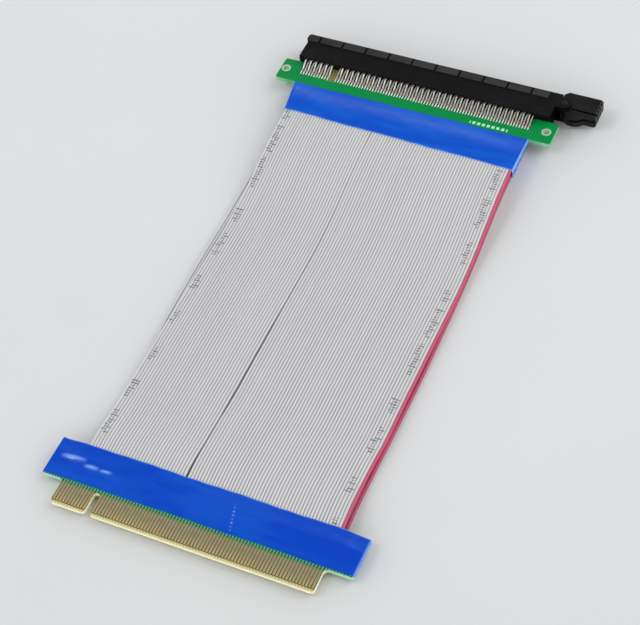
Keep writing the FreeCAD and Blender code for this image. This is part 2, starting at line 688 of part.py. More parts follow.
def build_contacts(label, up, outer, banks):
    """One row of spring contacts: a tail on the board, a beam in its cell and a touching point.

    up is 1 for the row above the board and -1 for the row below it; banks give the first pin and
    the number of pins on either side of the key.
    """
    body = new_body(label, dim.socket_x, underside_y, middle_z)
    landed = (dim.board_thick + dim.contact_thick) / 2
    tail = [(-dim.tail_end, landed), (-dim.inner_bend, dim.inner_exit)]
    if outer:
        tail = [(-dim.tail_end, landed), (dim.foot_long - dim.tail_end, landed),
                (-dim.outer_bend, dim.outer_exit)]
    strip = strip_outline(tail + [(dim.touch_up, dim.touch_out)], dim.contact_thick)
    for first, count in banks:
        profile = new_sketch(body, "YZ_Plane", first)
        add_polygon(profile, [(v, w * up) for v, w in strip])
        contact = pad(body, profile, dim.contact_wide, both_sides=True)
        repeat(body, [contact], dim.pin_pitch * 2, count)


def build_latch():
    """Card latch: a tab with a hook over the card's notch, a rounded heel, and a root with two trunnions."""
    body = new_body("card_latch", dim.socket_x + dim.pivot_u, underside_y + dim.pivot_v, middle_z)
    outer = dim.latch_outer
    tab = new_sketch(body, "XY_Plane")
    add_polygon(tab, [
        (-dim.hook_reach, ZERO), (ZERO, dim.latch_low), (outer, dim.latch_low), (outer, dim.latch_top),
        (dim.hook_slope - dim.hook_reach, dim.latch_top),
        (-dim.hook_reach, dim.latch_top - dim.hook_slope)])
    block = pad(body, tab, dim.latch_half * 2, both_sides=True)

    def on_end(start, end):
        level = abs(start.z - end.z) < TOUCHING
        return level and all(abs(point.x - outer.number) < TOUCHING for point in (start, end))
    chamfer_edges(body, block, edges_where(block, on_end), dim.tab_chamfer)
    for x, y, radius, half in ((dim.heel_x, dim.heel_y, dim.heel_radius, dim.latch_half),
                               (ZERO, ZERO, dim.root_radius, dim.latch_half),
                               (ZERO, ZERO, dim.pivot_radius, dim.slot_high / 2 - dim.pad_raise)):
        disc = new_sketch(body, "XY_Plane")
        add_circle(disc, x, y, radius)
        pad(body, disc, half * 2, both_sides=True)
    cut_finger_grooves(body)


def cut_finger_grooves(body):
    """One groove along each face of the tab and one along its lower side, and slots across its end."""
    along = new_sketch(body, "YZ_Plane", dim.groove_start)
    for up in (1, -1):
        add_rectangle(along, dim.groove_low, dim.latch_half * up, dim.groove_low + dim.groove_wide,
                      (dim.latch_half - dim.groove_deep) * up)
    pocket(body, along, dim.latch_outer, backwards=True)
    heel_drop = dim.heel_radius - dim.heel_y
    under = new_sketch(body, "XZ_Plane", heel_drop)
    add_rectangle(under, dim.groove_start, -dim.groove_wide / 2, dim.latch_outer, dim.groove_wide / 2)
    pocket(body, under, heel_drop + dim.latch_low + dim.groove_deep)
    across = new_sketch(body, "XY_Plane")
    pitch = (dim.latch_top - dim.latch_low) / (END_SLOTS + 1)
    for index in range(END_SLOTS):
        low = dim.latch_low + pitch * (index + 1) - dim.groove_deep / 2
        add_rectangle(across, dim.latch_outer - dim.groove_deep, low, dim.latch_outer, low + dim.groove_deep)
    pocket(body, across, dim.latch_half * 2, both_sides=True)


def write_parts():
    """Stop if anything failed or is no sound solid, then write each sub-part to its own file."""
    doc.recompute()
    for item in doc.Objects:
        if "Invalid" in item.State or "Error" in item.State:
            raise RuntimeError(f"{item.Name} failed: {item.State}")
    for item in sub_parts:
        if item.Shape.isNull() or not item.Shape.isValid() or not item.Shape.Solids:
            raise RuntimeError(f"{item.Label} has no sound solid")
    os.makedirs(PARTS_FOLDER, exist_ok=True)
    for item in sub_parts:
        item.Shape.exportStep(os.path.join(PARTS_FOLDER, f"{item.Label}.step"))
        print(item.Label, len(item.Shape.Solids), "solids", round(item.Shape.Volume, 2), "mm3")


def main():
    """Build every sub-part in turn."""
    build_plug_board()
    build_fingers("plug_fingers_top", True)
    build_fingers("plug_fingers_bottom", False)
    half = dim.ribbon_thick / 2
    plug_top = plug_board_z + dim.board_thick
    socket_top = socket_board_z + dim.board_thick
    lower = (plug_board_z - half, half, socket_board_z - half)
    upper = (plug_top + half, dim.ribbon_thick + dim.layer_gap + half, socket_top + half)
    plug_ribbon_right = plug_ribbon_left + dim.left_wires * dim.wire_pitch + dim.ribbon_slit
    for layer, levels in (("top", upper), ("bottom", lower)):
        build_ribbon(f"ribbon_{layer}_left", plug_ribbon_left, dim.left_wires, levels)
        build_ribbon(f"ribbon_{layer}_right", plug_ribbon_right, dim.right_wires, levels)
    for layer, up in (("top", 1), ("bottom", -1)):
        build_plug_tape(f"plug_tape_{layer}", up)
        build_socket_tape(f"socket_tape_{layer}", up)
    build_socket_board()
    build_hole_plating()
    build_housing()
    odd = [(dim.short_bank_first, (SHORT_BANK_PINS + 1) // 2),
           (dim.long_bank_first + dim.pin_pitch, LONG_BANK_PINS // 2)]
    even = [(dim.short_bank_first + dim.pin_pitch, SHORT_BANK_PINS // 2),
            (dim.long_bank_first, (LONG_BANK_PINS + 1) // 2)]
    build_contacts("contacts_top_outer", 1, True, odd)
    build_contacts("contacts_top_inner", 1, False, even)
    build_contacts("contacts_bottom_inner", -1, False, odd)
    build_contacts("contacts_bottom_outer", -1, True, even)
    build_latch()
    write_parts()


main()
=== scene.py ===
"""Looks of a flat ribbon extension lead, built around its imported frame.

Sizes are in millimetres until a mesh is made; meshes are in metres, in the frame's own axes.
X runs along both connectors, Y from the plug's tip to the slot's mouth, and Z is up from the table.
"""
import logging
import math
from abc import ABC, abstractmethod
from dataclasses import dataclass, replace
from enum import Enum
from functools import partialmethod
from typing import Any

import bpy
import numpy as np
from mathutils import Matrix, Vector


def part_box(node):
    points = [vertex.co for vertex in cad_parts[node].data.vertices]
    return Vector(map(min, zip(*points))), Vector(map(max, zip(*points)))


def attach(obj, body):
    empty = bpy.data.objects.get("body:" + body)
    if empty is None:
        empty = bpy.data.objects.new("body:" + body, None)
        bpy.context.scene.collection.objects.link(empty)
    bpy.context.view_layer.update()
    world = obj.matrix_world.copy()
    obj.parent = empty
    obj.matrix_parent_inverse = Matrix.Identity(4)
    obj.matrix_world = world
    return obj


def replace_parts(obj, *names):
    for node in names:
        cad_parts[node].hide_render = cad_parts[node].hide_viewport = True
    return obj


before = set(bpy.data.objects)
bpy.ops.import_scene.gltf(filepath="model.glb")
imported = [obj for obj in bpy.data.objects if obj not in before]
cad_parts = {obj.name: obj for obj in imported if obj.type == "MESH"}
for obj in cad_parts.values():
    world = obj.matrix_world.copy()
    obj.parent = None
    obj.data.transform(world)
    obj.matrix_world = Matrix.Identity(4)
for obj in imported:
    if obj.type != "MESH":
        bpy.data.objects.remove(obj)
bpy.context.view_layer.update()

MM = 0.001
LEAD = "lead"
LOG = logging.getLogger("ribbon_lead")
# A face that looks up or down by more than this share is level, and any other is a wall.
LEVEL_FACE = 0.5
# Smooth noise mostly lies between these.
NOISE_BAND = (0.3, 0.7)

Array = np.ndarray
Pair = tuple[float, float]
Triple = tuple[float, float, float]
Colour = tuple[float, float, float, float]
Socket = bpy.types.NodeSocket


class Layer(Enum):
    """The two faces of the lead: the value is the way that a face looks along Z."""

    TOP = 1
    BOTTOM = -1

    @property
    def word(self) -> str:
        """The layer's word in the names of nodes."""
        return self.name.lower()


class Side(Enum):
    """The two ribbons of a layer, by their words in the names of nodes."""

    LEFT = "left"
    RIGHT = "right"


def smooth_step(value: Array, low: float, high: float) -> Array:
    """Ease from 0 at low to 1 at high: 3 t squared less 2 t cubed of the clipped share t."""
    share = np.clip((value - low) / (high - low), 0.0, 1.0)
    return share * share * (3.0 - 2.0 * share)


def two_arc_step(share: Array) -> Array:
    """Rise from 0 to 1 by two mirrored parabolas: 2 t squared, then 1 less 2 (1 - t) squared."""
    share = np.clip(share, 0.0, 1.0)
    return np.where(share < 0.5, 2.0 * share ** 2, 1.0 - 2.0 * (1.0 - share) ** 2)


def bell(distance: Array, half_wide: float) -> Array:
    """Bell curve: the natural exponential of minus the square of the distance over the half width."""
    return np.exp(-(distance / half_wide) ** 2)


def grid_quads(rows: int, columns: int, closed: bool = False) -> Array:
    """Quads of a grid of vertices that is stored row by row.

    Cell (i, j) joins vertices (i, j), (i, j + 1), (i + 1, j + 1) and (i + 1, j).

    Args:
        rows: Rows of vertices.
        columns: Vertices in a row.
        closed: Whether the last column joins the first.

    Returns:
        An array of four vertex indices a quad.
    """
    cells = columns if closed else columns - 1
    i, j = np.meshgrid(np.arange(rows - 1), np.arange(cells), indexing="ij")
    beside = (j + 1) % columns
    corners = (i * columns + j, i * columns + beside, (i + 1) * columns + beside, (i + 1) * columns + j)
    return np.stack(corners, axis=-1).reshape(-1, 4)


def slab_quads(rows: int, columns: int) -> Array:
    """Quads of a closed slab: an upper grid, the same grid below it, and the walls between their rims.

    Args:
        rows: Rows of vertices, along the second axis of the surface.
        columns: Vertices in a row, along its first axis.

    Returns:
        The quads, upper grid first, each turned to face out where row and column run as Y and X.
    """
    count = rows * columns
    upper = grid_quads(rows, columns)
    lower = upper[:, ::-1] + count
    index = np.arange(count).reshape(rows, columns)
    rim = np.concatenate([index[0, :-1], index[:-1, -1], index[-1, :0:-1], index[:0:-1, 0]])
    beside = np.roll(rim, -1)
    walls = np.stack([rim, rim + count, beside + count, beside], axis=-1)
    return np.concatenate([upper, lower, walls])


def slab_points(layer: Layer, x: Array, y: Array, outer: Array, inner: Array) -> Array:
    """Vertices of a closed slab on a face of a board, its upper grid first.

    Args:
        layer: Which face.
        x: Places of the grid along X.
        y: Places of the grid along Y.
        outer: Heights of the side that looks away from the board.
        inner: Heights of the side that looks at it.

    Returns:
        Three numbers a vertex.
    """
    sides = [np.stack([x, y, height], axis=-1).reshape(-1, 3) for height in (outer, inner)]
    return np.concatenate(sides[::layer.value])


def make_piece(name: str, points: Array, quads: Array, finish: "Finish", sharp_angle: float,
               **attributes: Array) -> bpy.types.Object:
    """Put a surface into a mesh object that sits at the origin.

    Args:
        name: Name of the piece.
        points: Vertices in millimetres, three numbers each.
        quads: Four vertex indices a face.
        finish: What the piece is dressed in.
        sharp_angle: Edges that bend by more than this, in degrees, stay sharp.
        **attributes: A number for each vertex, by the name under which the finish reads it.

    Returns:
        The new object, linked into the scene.
    """
    mesh = bpy.data.meshes.new(name)
    mesh.vertices.add(len(points))
    mesh.vertices.foreach_set("co", (points * MM).astype(np.float32).ravel())
    mesh.loops.add(quads.size)
    mesh.loops.foreach_set("vertex_index", quads.astype(np.int32).ravel())
    mesh.polygons.add(len(quads))
    mesh.polygons.foreach_set("loop_start", np.arange(0, quads.size, 4, dtype=np.int32))
    mesh.polygons.foreach_set("use_smooth", np.ones(len(quads), dtype=bool))
    mesh.update(calc_edges=True)
    mesh.set_sharp_from_angle(angle=math.radians(sharp_angle))
    for label, values in attributes.items():
        store = mesh.attributes.new(label, "FLOAT", "POINT")
        store.data.foreach_set("value", values.astype(np.float32).ravel())
    mesh.materials.append(finish.material())
    piece = bpy.data.objects.new(name, mesh)
    bpy.context.scene.collection.objects.link(piece)
    return piece


def node_box(node: str) -> tuple[Array, Array]:
    """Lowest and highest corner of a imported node, in millimetres."""
    low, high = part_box(node)
    return np.array(low) / MM, np.array(high) / MM


def dress_nodes(finish: "Finish", *nodes: str) -> None:
    """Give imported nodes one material, in every slot that they have.

    Args:
        finish: What they are dressed in.
        *nodes: Their names.
    """
    material = finish.material()
    for node in nodes:
        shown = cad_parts[node]
        if not shown.material_slots:
            shown.data.materials.append(material)
        for place in shown.material_slots:
            place.material = material
        LOG.info("dressed %s in %s", node, material.name)


@dataclass(frozen=True, eq=False)
class Field:
    """A number that varies over a surface: a node's output, and the sums that can follow it."""

    bench: "NodeBench"
    socket: Socket

    def apply(self, operation: str, *others: "Field | float") -> "Field":
        """Result of one sum on this number and others."""
        inputs = dict(enumerate((self, *others)))
        return self.bench.take("ShaderNodeMath", 0, inputs, operation=operation)

    # The sums in use, by their signs; a comparison gives 1 or 0.
    __add__ = partialmethod(apply, "ADD")
    __sub__ = partialmethod(apply, "SUBTRACT")
    __mul__ = partialmethod(apply, "MULTIPLY")
    __truediv__ = partialmethod(apply, "DIVIDE")
    __gt__ = partialmethod(apply, "GREATER_THAN")
    __lt__ = partialmethod(apply, "LESS_THAN")
    __abs__ = partialmethod(apply, "ABSOLUTE")
    fraction = partialmethod(apply, "FRACT")

    def within(self, low: float, high: float) -> "Field":
        """1 where this number lies between two limits, else 0."""
        return (self > low) * (self < high)

    def chance(self) -> "Field":
        """A number from 0 to 1 that is drawn afresh for each whole part of this one."""
        inputs = {"W": self.apply("FLOOR")}
        return self.bench.take("ShaderNodeTexWhiteNoise", "Value", inputs, noise_dimensions="1D")

    def ease(self, low: float, high: float, at_low: float = 0.0, at_high: float = 1.0) -> "Field":
        """A number that eases from at_low to at_high while this one goes from low to high."""
        inputs = {"Value": self, "From Min": low, "From Max": high, "To Min": at_low, "To Max": at_high}
        return self.bench.take("ShaderNodeMapRange", "Result", inputs, interpolation_type="SMOOTHSTEP")

    def blend(self, first: Colour | Socket, second: Colour | Socket) -> Socket:
        """Colour between two colours, with this number as the share of the second."""
        inputs = {0: self, 6: first, 7: second}
        return self.bench.add("ShaderNodeMix", inputs, data_type="RGBA").outputs[2]


class NodeBench:
    """A tree of nodes, with short calls that add them and link them."""

    def __init__(self, tree: bpy.types.NodeTree) -> None:
        """Work on a tree."""
        self.tree = tree

    def add(self, kind: str, inputs: dict[int | str, Any], **settings: Any) -> bpy.types.Node:
        """Add a node.

        Args:
            kind: The node's type.
            inputs: For each input, what to feed it with.
            **settings: The node's own properties.

        Returns:
            The node.
        """
        node = self.tree.nodes.new(kind)
        for name, value in settings.items():
            setattr(node, name, value)
        for key, value in inputs.items():
            self.feed(node.inputs[key], value)
        return node

    def take(self, kind: str, output: int | str, inputs: dict[int | str, Any], **settings: Any) -> Field:
        """Add a node and take one of its outputs as a number."""
        return Field(self, self.add(kind, inputs, **settings).outputs[output])

    def feed(self, socket: Socket, value: Any) -> None:
        """Link an output into a socket, or set the socket's own value.

        Args:
            socket: The input.
            value: A field, another node's output, or a plain value.
        """
        if isinstance(value, Field):
            value = value.socket
        if isinstance(value, Socket):
            self.tree.links.new(value, socket)
        else:
            socket.default_value = value

    def part(self, vector: Socket, axis: str) -> Field:
        """One part, X, Y or Z, of a vector."""
        return self.take("ShaderNodeSeparateXYZ", axis, {"Vector": vector})


class MaterialBench(NodeBench):
    """The nodes of one material."""

    def __init__(self, name: str) -> None:
        """Start a material that holds only its shader.

        Args:
            name: The material's name.
        """
        self.material = bpy.data.materials.new(name)
        self.material.use_nodes = True
        super().__init__(self.material.node_tree)
        self.shader = self.tree.nodes["Principled BSDF"]

    def place(self) -> Socket:
        """Object coordinates, in metres."""
        return self.add("ShaderNodeTexCoord", {}).outputs["Object"]

    def axis(self, name: str) -> Field:
        """One object coordinate, in millimetres."""
        return self.part(self.place(), name) * (1.0 / MM)

    def upright(self) -> Field:
        """How far a face looks up or down: 1 on level faces and 0 on walls."""
        normal = self.add("ShaderNodeNewGeometry", {}).outputs["True Normal"]
        return abs(self.part(normal, "Z"))

    def attribute(self, name: str) -> Field:
        """The piece's own number of that name."""
        return self.take("ShaderNodeAttribute", "Fac", {}, attribute_name=name)

    def noise(self, grain: float, detail: float = 2.0, stretch: Triple = (1.0, 1.0, 1.0)) -> Field:
        """Smooth noise on object coordinates, about 0 to 1.

        Args:
            grain: Size of its spots in millimetres.
            detail: How many finer layers it has.
            stretch: How many times longer the spots are along each axis.

        Returns:
            The noise.
        """
        scale = tuple(1.0 / (grain * MM * times) for times in stretch)
        scaled = self.add("ShaderNodeMapping", {"Vector": self.place(), "Scale": scale}).outputs["Vector"]
        inputs = {"Vector": scaled, "Scale": 1.0, "Detail": detail, "Roughness": 0.55}
        return self.take("ShaderNodeTexNoise", "Fac", inputs)

    def relief(self, height: Field, depth: float, strength: float, edge: float = 0.0) -> None:
        """Raise the surface in its shading only.

        Args:
            height: The height, about 0 to 1.
            depth: What a height of 1 stands for, in millimetres.
            strength: How much of the effect shows.
            edge: Radius by which sharp edges look rounded, in millimetres.
        """
        inputs = {"Height": height, "Distance": depth * MM, "Strength": strength}
        if edge > 0.0:
            inputs["Normal"] = self.add("ShaderNodeBevel", {"Radius": edge * MM}, samples=6).outputs["Normal"]
        self.feed(self.shader.inputs["Normal"], self.add("ShaderNodeBump", inputs).outputs["Normal"])

    def finish(self, **sockets: Any) -> bpy.types.Material:
        """Feed the shader's sockets, named with _ for each space, and hand the material over."""
        for name, value in sockets.items():
            self.feed(self.shader.inputs[name.replace("_", " ")], value)
        return self.material


class Finish(ABC):
    """Something that a piece can be dressed in."""

    @abstractmethod
    def material(self) -> bpy.types.Material:
        """Make the finish's material."""


@dataclass(frozen=True)
class Tint:
    """A second colour that takes over towards one place along Y."""

    colour: Colour
    full_at: float
    none_at: float
    most: float = 1.0

    def over(self, bench: MaterialBench, colour: Colour | Socket) -> Socket:
        """Colour with the tint laid over it, by a share that eases from the most to nothing."""
        share = bench.axis("Y").ease(self.none_at, self.full_at, 0.0, self.most)
        return share.blend(colour, self.colour)


@dataclass(frozen=True)
class InkRow:
    """A row of plain printed ticks that runs along a ribbon, between two places counted in wires."""

    low: float
    high: float
    shift: float = 0.0
    pitch: float = 1.0
    tick: Pair = (0.12, 0.62)
    group_pitch: float = 15.0
    group_long: Pair = (0.35, 0.85)
    longer: float = 0.3
    shorter: float = 0.9
    other_draw: float = 57.0
    wear_grain: float = 1.1
    wear_band: Pair = (0.3, 0.6)
    wear: Pair = (0.35, 0.85)
    ink: Colour = (0.14, 0.14, 0.16, 1.0)

    def share(self, bench: MaterialBench, across: Field) -> Field:
        """Share of ink at a place.

        Ticks stand at an even pitch along Y, in groups of different lengths; each tick covers a
        part of the row's width that is drawn afresh for it.

        Args:
            bench: Material to add to.
            across: Place in the section, counted in wires.

        Returns:
            The share, less where the ink is worn.
        """
        along = bench.axis("Y") + self.shift
        group = along / self.group_pitch
        in_group = group.fraction() < group.chance().ease(0.0, 1.0, *self.group_long)
        step = along / self.pitch
        low = step.chance().ease(0.0, 1.0, self.low - self.longer, self.low + self.shorter)
        other = (step + self.other_draw).chance()
        high = other.ease(0.0, 1.0, self.high - self.shorter, self.high + self.longer)
        marks = in_group * step.fraction().within(*self.tick) * (across > low) * (across < high)
        return marks * bench.noise(self.wear_grain).ease(*self.wear_band, *self.wear)


@dataclass(frozen=True)
class RibbonVinyl(Finish):
    """Grey vinyl over a row of wires, with painted shade that darkens it towards the valleys between them;
    the last wire may be red.
    """

    name: str
    wires: int
    red_edge: bool
    print_row: InkRow | None
    crest: Colour = (0.7, 0.7, 0.718, 1.0)
    # Painted shade: the plain and the red valley colours darken the wires' flanks towards the valleys between
    # them.
    valley: Colour = (0.35, 0.35, 0.362, 1.0)
    red_crest: Colour = (0.68, 0.11, 0.22, 1.0)
    red_valley: Colour = (0.28, 0.02, 0.06, 1.0)
    valley_shade_band: Pair = (0.45, 0.95)
    valley_shade_most: float = 0.95
    wire_spread: float = 0.12
    smudge_spread: float = 0.2
    smudge_grain: float = 14.0
    scuff_grain: float = 0.25
    scuff_deep: float = 0.02
    roughness: Pair = (0.4, 0.55)
    gloss: float = 0.35

    def material(self) -> bpy.types.Material:
        """Make the vinyl.

        The share of the painted shade rises with the distance from the wire's middle line, towards the
        valleys between wires, and each wire and each stretch of it is a little lighter or darker than the
        next.

        Returns:
            The material, which reads the ribbon's own attribute named across.
        """
        bench = MaterialBench(self.name)
        across = bench.attribute("across")
        smudge = bench.noise(self.smudge_grain, detail=3.0, stretch=(1.0, 2.5, 1.0))
        off_middle = abs(across.fraction() * 2.0 - 1.0)
        # Share of the painted shade towards the valleys, with random tone for each wire and each stretch.
        valley = off_middle.ease(*self.valley_shade_band, 0.0, self.valley_shade_most)
        valley = valley + (across.chance() - 0.5) * self.wire_spread + (smudge - 0.5) * self.smudge_spread
        valley = valley.apply("MAXIMUM", 0.0)
        colour = valley.blend(self.crest, self.valley)
        if self.print_row is not None:
            colour = self.print_row.share(bench, across).blend(colour, self.print_row.ink)
        if self.red_edge:
            red = valley.blend(self.red_crest, self.red_valley)
            colour = (across > self.wires - 1.0).blend(colour, red)
        scuffs = bench.noise(self.scuff_grain, detail=3.0, stretch=(1.0, 6.0, 1.0))
        bench.relief(scuffs, self.scuff_deep, strength=0.6)
        return bench.finish(Base_Color=colour, Roughness=smudge.ease(*NOISE_BAND, *self.roughness),
                            Specular_IOR_Level=self.gloss)


@dataclass(frozen=True)
class TapeFilm(Finish):
    """Glossy blue insulating film, with a paler blue painted as highlights and sheen where the piece's
    attribute says.
    """

    name: str
    deep: Colour
    light: Colour
    gloss: float
    # Painted highlight: the paler blue that stands for glints, lines of light and sheen on the film.
    highlight_blue: Colour = (0.24, 0.5, 1.0, 1.0)
    streak_grain: float = 9.0
    light_band: Pair = (0.35, 0.7)
    highlight_band: Pair = (0.2, 0.8)
    highlight_least: float = 0.75
    dent_grain: float = 2.4
    dent_deep: float = 0.035
    smear_grain: float = 1.6
    smear_band: Pair = (0.3, 0.75)
    roughness: Pair = (0.12, 0.22)

    def material(self) -> bpy.types.Material:
        """Make the film.

        Long faint streaks mix the deep and the light blue, and the piece's own attribute named pale
        says where the paler blue of the painted highlight takes over.

        Returns:
            The material.
        """
        bench = MaterialBench(self.name)
        streaks = bench.noise(self.streak_grain, detail=3.0, stretch=(2.5, 0.5, 1.0))
        blue = streaks.ease(*self.light_band).blend(self.deep, self.light)
        # Share of the painted highlight, broken up by the streaks.
        pale = bench.attribute("pale") * streaks.ease(*self.highlight_band, self.highlight_least, 1.0)
        bench.relief(bench.noise(self.dent_grain), self.dent_deep, strength=0.5)
        smears = bench.noise(self.smear_grain, detail=4.0)
        return bench.finish(Base_Color=pale.blend(blue, self.highlight_blue), Specular_IOR_Level=self.gloss,
                            Roughness=smears.ease(*self.smear_band, *self.roughness))


@dataclass(frozen=True)
class CircuitLaminate(Finish):
    """Circuit board with a green mask and pale cut edges; each board draws its own faces and edges."""

    name: str
    pin_x: float
    mask: Colour = (0.0, 0.25, 0.055, 1.0)
    mask_line: Colour = (0.004, 0.355, 0.085, 1.0)
    cut_green: Colour = (0.42, 0.68, 0.46, 1.0)
    line_soft: float = 0.05
    line_share: float = 0.5
    cloud_grain: float = 6.0
    cloud_share: float = 0.55
    thread_grain: float = 0.3
    thread_dark: float = 0.86
    dent_grain: float = 0.7
    dent_deep: float = 0.008
    edge_round: float = 0.1
    roughness: Pair = (0.3, 0.7)
    gloss: float = 0.17

    @abstractmethod
    def faces(self, bench: MaterialBench) -> Socket:
        """Colour of the board's two faces."""

    @abstractmethod
    def cuts(self, bench: MaterialBench) -> Socket:
        """Colour of the board's cut edges."""

    @abstractmethod
    def is_cut(self, bench: MaterialBench) -> Field:
        """1 where the laminate is cut, else 0."""

    def pin_lines(self, bench: MaterialBench, half_wide: float) -> Field:
        """1 on lines along Y at the connector's pins and 0 between them, for a half width of line."""
        off_pin = abs((bench.axis("X") - (self.pin_x - 0.5)).fraction() - 0.5)
        return off_pin.ease(half_wide - self.line_soft, half_wide + self.line_soft, 1.0, 0.0)

    def masked(self, bench: MaterialBench, line: Field) -> Socket:
        """Colour of the mask: lighter over copper lines, and a little uneven."""
        share = bench.noise(self.cloud_grain, detail=3.0) * self.cloud_share + line * self.line_share
        return share.blend(self.mask, self.mask_line)

    def material(self) -> bpy.types.Material:
        """Make the board: its faces, its cut edges with the ends of the glass threads, and a soft gloss.

        Returns:
            The material.
        """
        bench = MaterialBench(self.name)
        cut = self.is_cut(bench)
        threads = bench.noise(self.thread_grain, detail=3.0, stretch=(1.0, 1.0, 0.3))
        shade = threads.ease(*NOISE_BAND, 1.0, self.thread_dark)
        cuts = bench.add("ShaderNodeVectorMath", {0: self.cuts(bench), "Scale": shade}, operation="SCALE")
        bench.relief(bench.noise(self.dent_grain), self.dent_deep, strength=0.5, edge=self.edge_round)
        return bench.finish(Base_Color=cut.blend(self.faces(bench), cuts.outputs["Vector"]),
                            Roughness=cut.ease(0.0, 1.0, *self.roughness), Specular_IOR_Level=self.gloss)


@dataclass(frozen=True)
class PlugLaminate(CircuitLaminate):
    """The plug's board: bare laminate round the fingers, copper combs behind them, then the mask."""

    finger_end: float = 0.0
    shoulder: float = 0.0
    bevel_end: float = 0.0
    bare: Colour = (0.135, 0.165, 0.085, 1.0)
    bare_tip: Colour = (0.085, 0.075, 0.03, 1.0)
    tip_long: float = 4.0
    smear: Colour = (0.52, 0.43, 0.19, 1.0)
    smear_half: float = 0.38
    smear_ahead: Pair = (0.95, 0.2)
    smear_least: float = 0.45
    comb_gap: Colour = (0.0, 0.08, 0.06, 1.0)
    comb_tooth: Colour = (0.14, 0.4, 0.18, 1.0)
    comb_half: float = 0.3
    comb_past: float = 0.4
    cut_cream: Colour = (0.92, 0.89, 0.56, 1.0)
    cream_short: float = 0.5

    def faces(self, bench: MaterialBench) -> Socket:
        """Bare and browner at the tip, then a copper tooth behind each finger, then the mask.

        Args:
            bench: Material to add to.

        Returns:
            The colour.
        """
        along = bench.axis("Y")
        bare = Tint(self.bare_tip, self.bevel_end, self.bevel_end + self.tip_long).over(bench, self.bare)
        tooth = self.pin_lines(bench, self.comb_half)
        comb = tooth.blend(self.comb_gap, self.comb_tooth)
        behind = (along > self.shoulder + self.comb_past).blend(comb, self.masked(bench, tooth))
        return (along > self.finger_end).blend(bare, behind)

    def cuts(self, bench: MaterialBench) -> Socket:
        """Cream on the tongue, with gold smeared onto the bevel, and pale green on the board behind it.

        Args:
            bench: Material to add to.

        Returns:
            The colour.
        """
        along = bench.axis("Y")
        start, end = (self.bevel_end - ahead for ahead in self.smear_ahead)
        smear = self.pin_lines(bench, self.smear_half).ease(0.0, 1.0, self.smear_least, 1.0)
        smear = smear * along.ease(start, end) * (bench.upright() > LEVEL_FACE)
        tongue = smear.blend(self.cut_cream, self.smear)
        return (along > self.shoulder - self.cream_short).blend(tongue, self.cut_green)

    def is_cut(self, bench: MaterialBench) -> Field:
        """Walls, and the bevel at the tongue's tip."""
        return (bench.upright() < LEVEL_FACE).apply("MAXIMUM", bench.axis("Y") < self.bevel_end)


@dataclass(frozen=True)
class SlotLaminate(CircuitLaminate):
    """The slot's board: mask over copper lines that lead to the lands, and a row of plain white dashes."""

    lines_y: Pair = (0.0, 0.0)
    line_half: float = 0.2
    dash_x: Pair = (0.0, 0.0)
    dash_y: Pair = (0.0, 0.0)
    dash_above: float = 0.0
    dash_pitch: float = 1.7
    dash_long: float = 0.62
    silk: Colour = (0.5, 0.88, 0.62, 1.0)
    lands_x: Pair = (0.0, 0.0)
    # Painted shade under the contacts, with dark flux, darkens the board between the lands.
    land_ahead: float = 0.5
    shade_and_flux_most: float = 0.85
    shade_and_flux_between_lands: Colour = (0.05, 0.043, 0.033, 1.0)
    key_x: float = 0.0
    flux_beside: Pair = (0.6, 1.9)
    flux_ahead: float = 2.0
    flux_most: float = 0.85
    flux: Colour = (0.27, 0.26, 0.09, 1.0)

    def faces(self, bench: MaterialBench) -> Socket:
        """Mask with lines, painted shade with dark flux between the lands, flux left between their banks, and
        the dashes on top.

        Args:
            bench: Material to add to.

        Returns:
            The colour.
        """
        along, beside = bench.axis("Y"), bench.axis("X")
        lands_from = self.lines_y[1]
        line = (self.pin_lines(bench, self.line_half) - 0.5) * along.within(*self.lines_y)
        dash = (beside / self.dash_pitch).fraction().within(0.0, self.dash_long)
        dash = dash * beside.within(*self.dash_x) * along.within(*self.dash_y)
        dash = dash * (bench.axis("Z") > self.dash_above)
        flux = abs(beside - self.key_x).ease(*self.flux_beside, self.flux_most, 0.0)
        flux = flux * along.ease(lands_from - self.flux_ahead, lands_from)
        # Share of the painted shade and dark flux under the contacts.
        lands = along.ease(lands_from - self.land_ahead, lands_from, 0.0, self.shade_and_flux_most)
        lands = lands * beside.within(*self.lands_x)
        colour = lands.blend(self.masked(bench, line), self.shade_and_flux_between_lands)
        return dash.blend(flux.blend(colour, self.flux), self.silk)

    def cuts(self, bench: MaterialBench) -> Socket:
        """Pale green all round, a little uneven."""
        return bench.noise(grain=4.0).blend(self.cut_green, self.mask_line)

    def is_cut(self, bench: MaterialBench) -> Field:
        """Walls only."""
        return bench.upright() < LEVEL_FACE


@dataclass(frozen=True)
class PlatedMetal(Finish):
    """Plated contact metal, bright with duller patches."""

    name: str
    bright: Colour
    dull: Colour
    patch: float
    roughness: Pair
    metallic: float
    tints: tuple[Tint, ...] = ()
    dull_band: Pair = (0.35, 0.7)
    dent_share: float = 0.3
    dent_deep: float = 0.01

    def material(self) -> bpy.types.Material:
        """Make the metal: patches of noise mix its two colours and roughnesses, and tints go over them.

        Returns:
            The material.
        """
        bench = MaterialBench(self.name)
        patches = bench.noise(self.patch, detail=3.0)
        bench.relief(bench.noise(self.patch * self.dent_share), self.dent_deep, strength=0.4)
        colour = patches.ease(*self.dull_band).blend(self.bright, self.dull)
        for tint in self.tints:
            colour = tint.over(bench, colour)
        return bench.finish(Base_Color=colour, Roughness=patches.ease(*NOISE_BAND, *self.roughness),
                            Metallic=self.metallic)


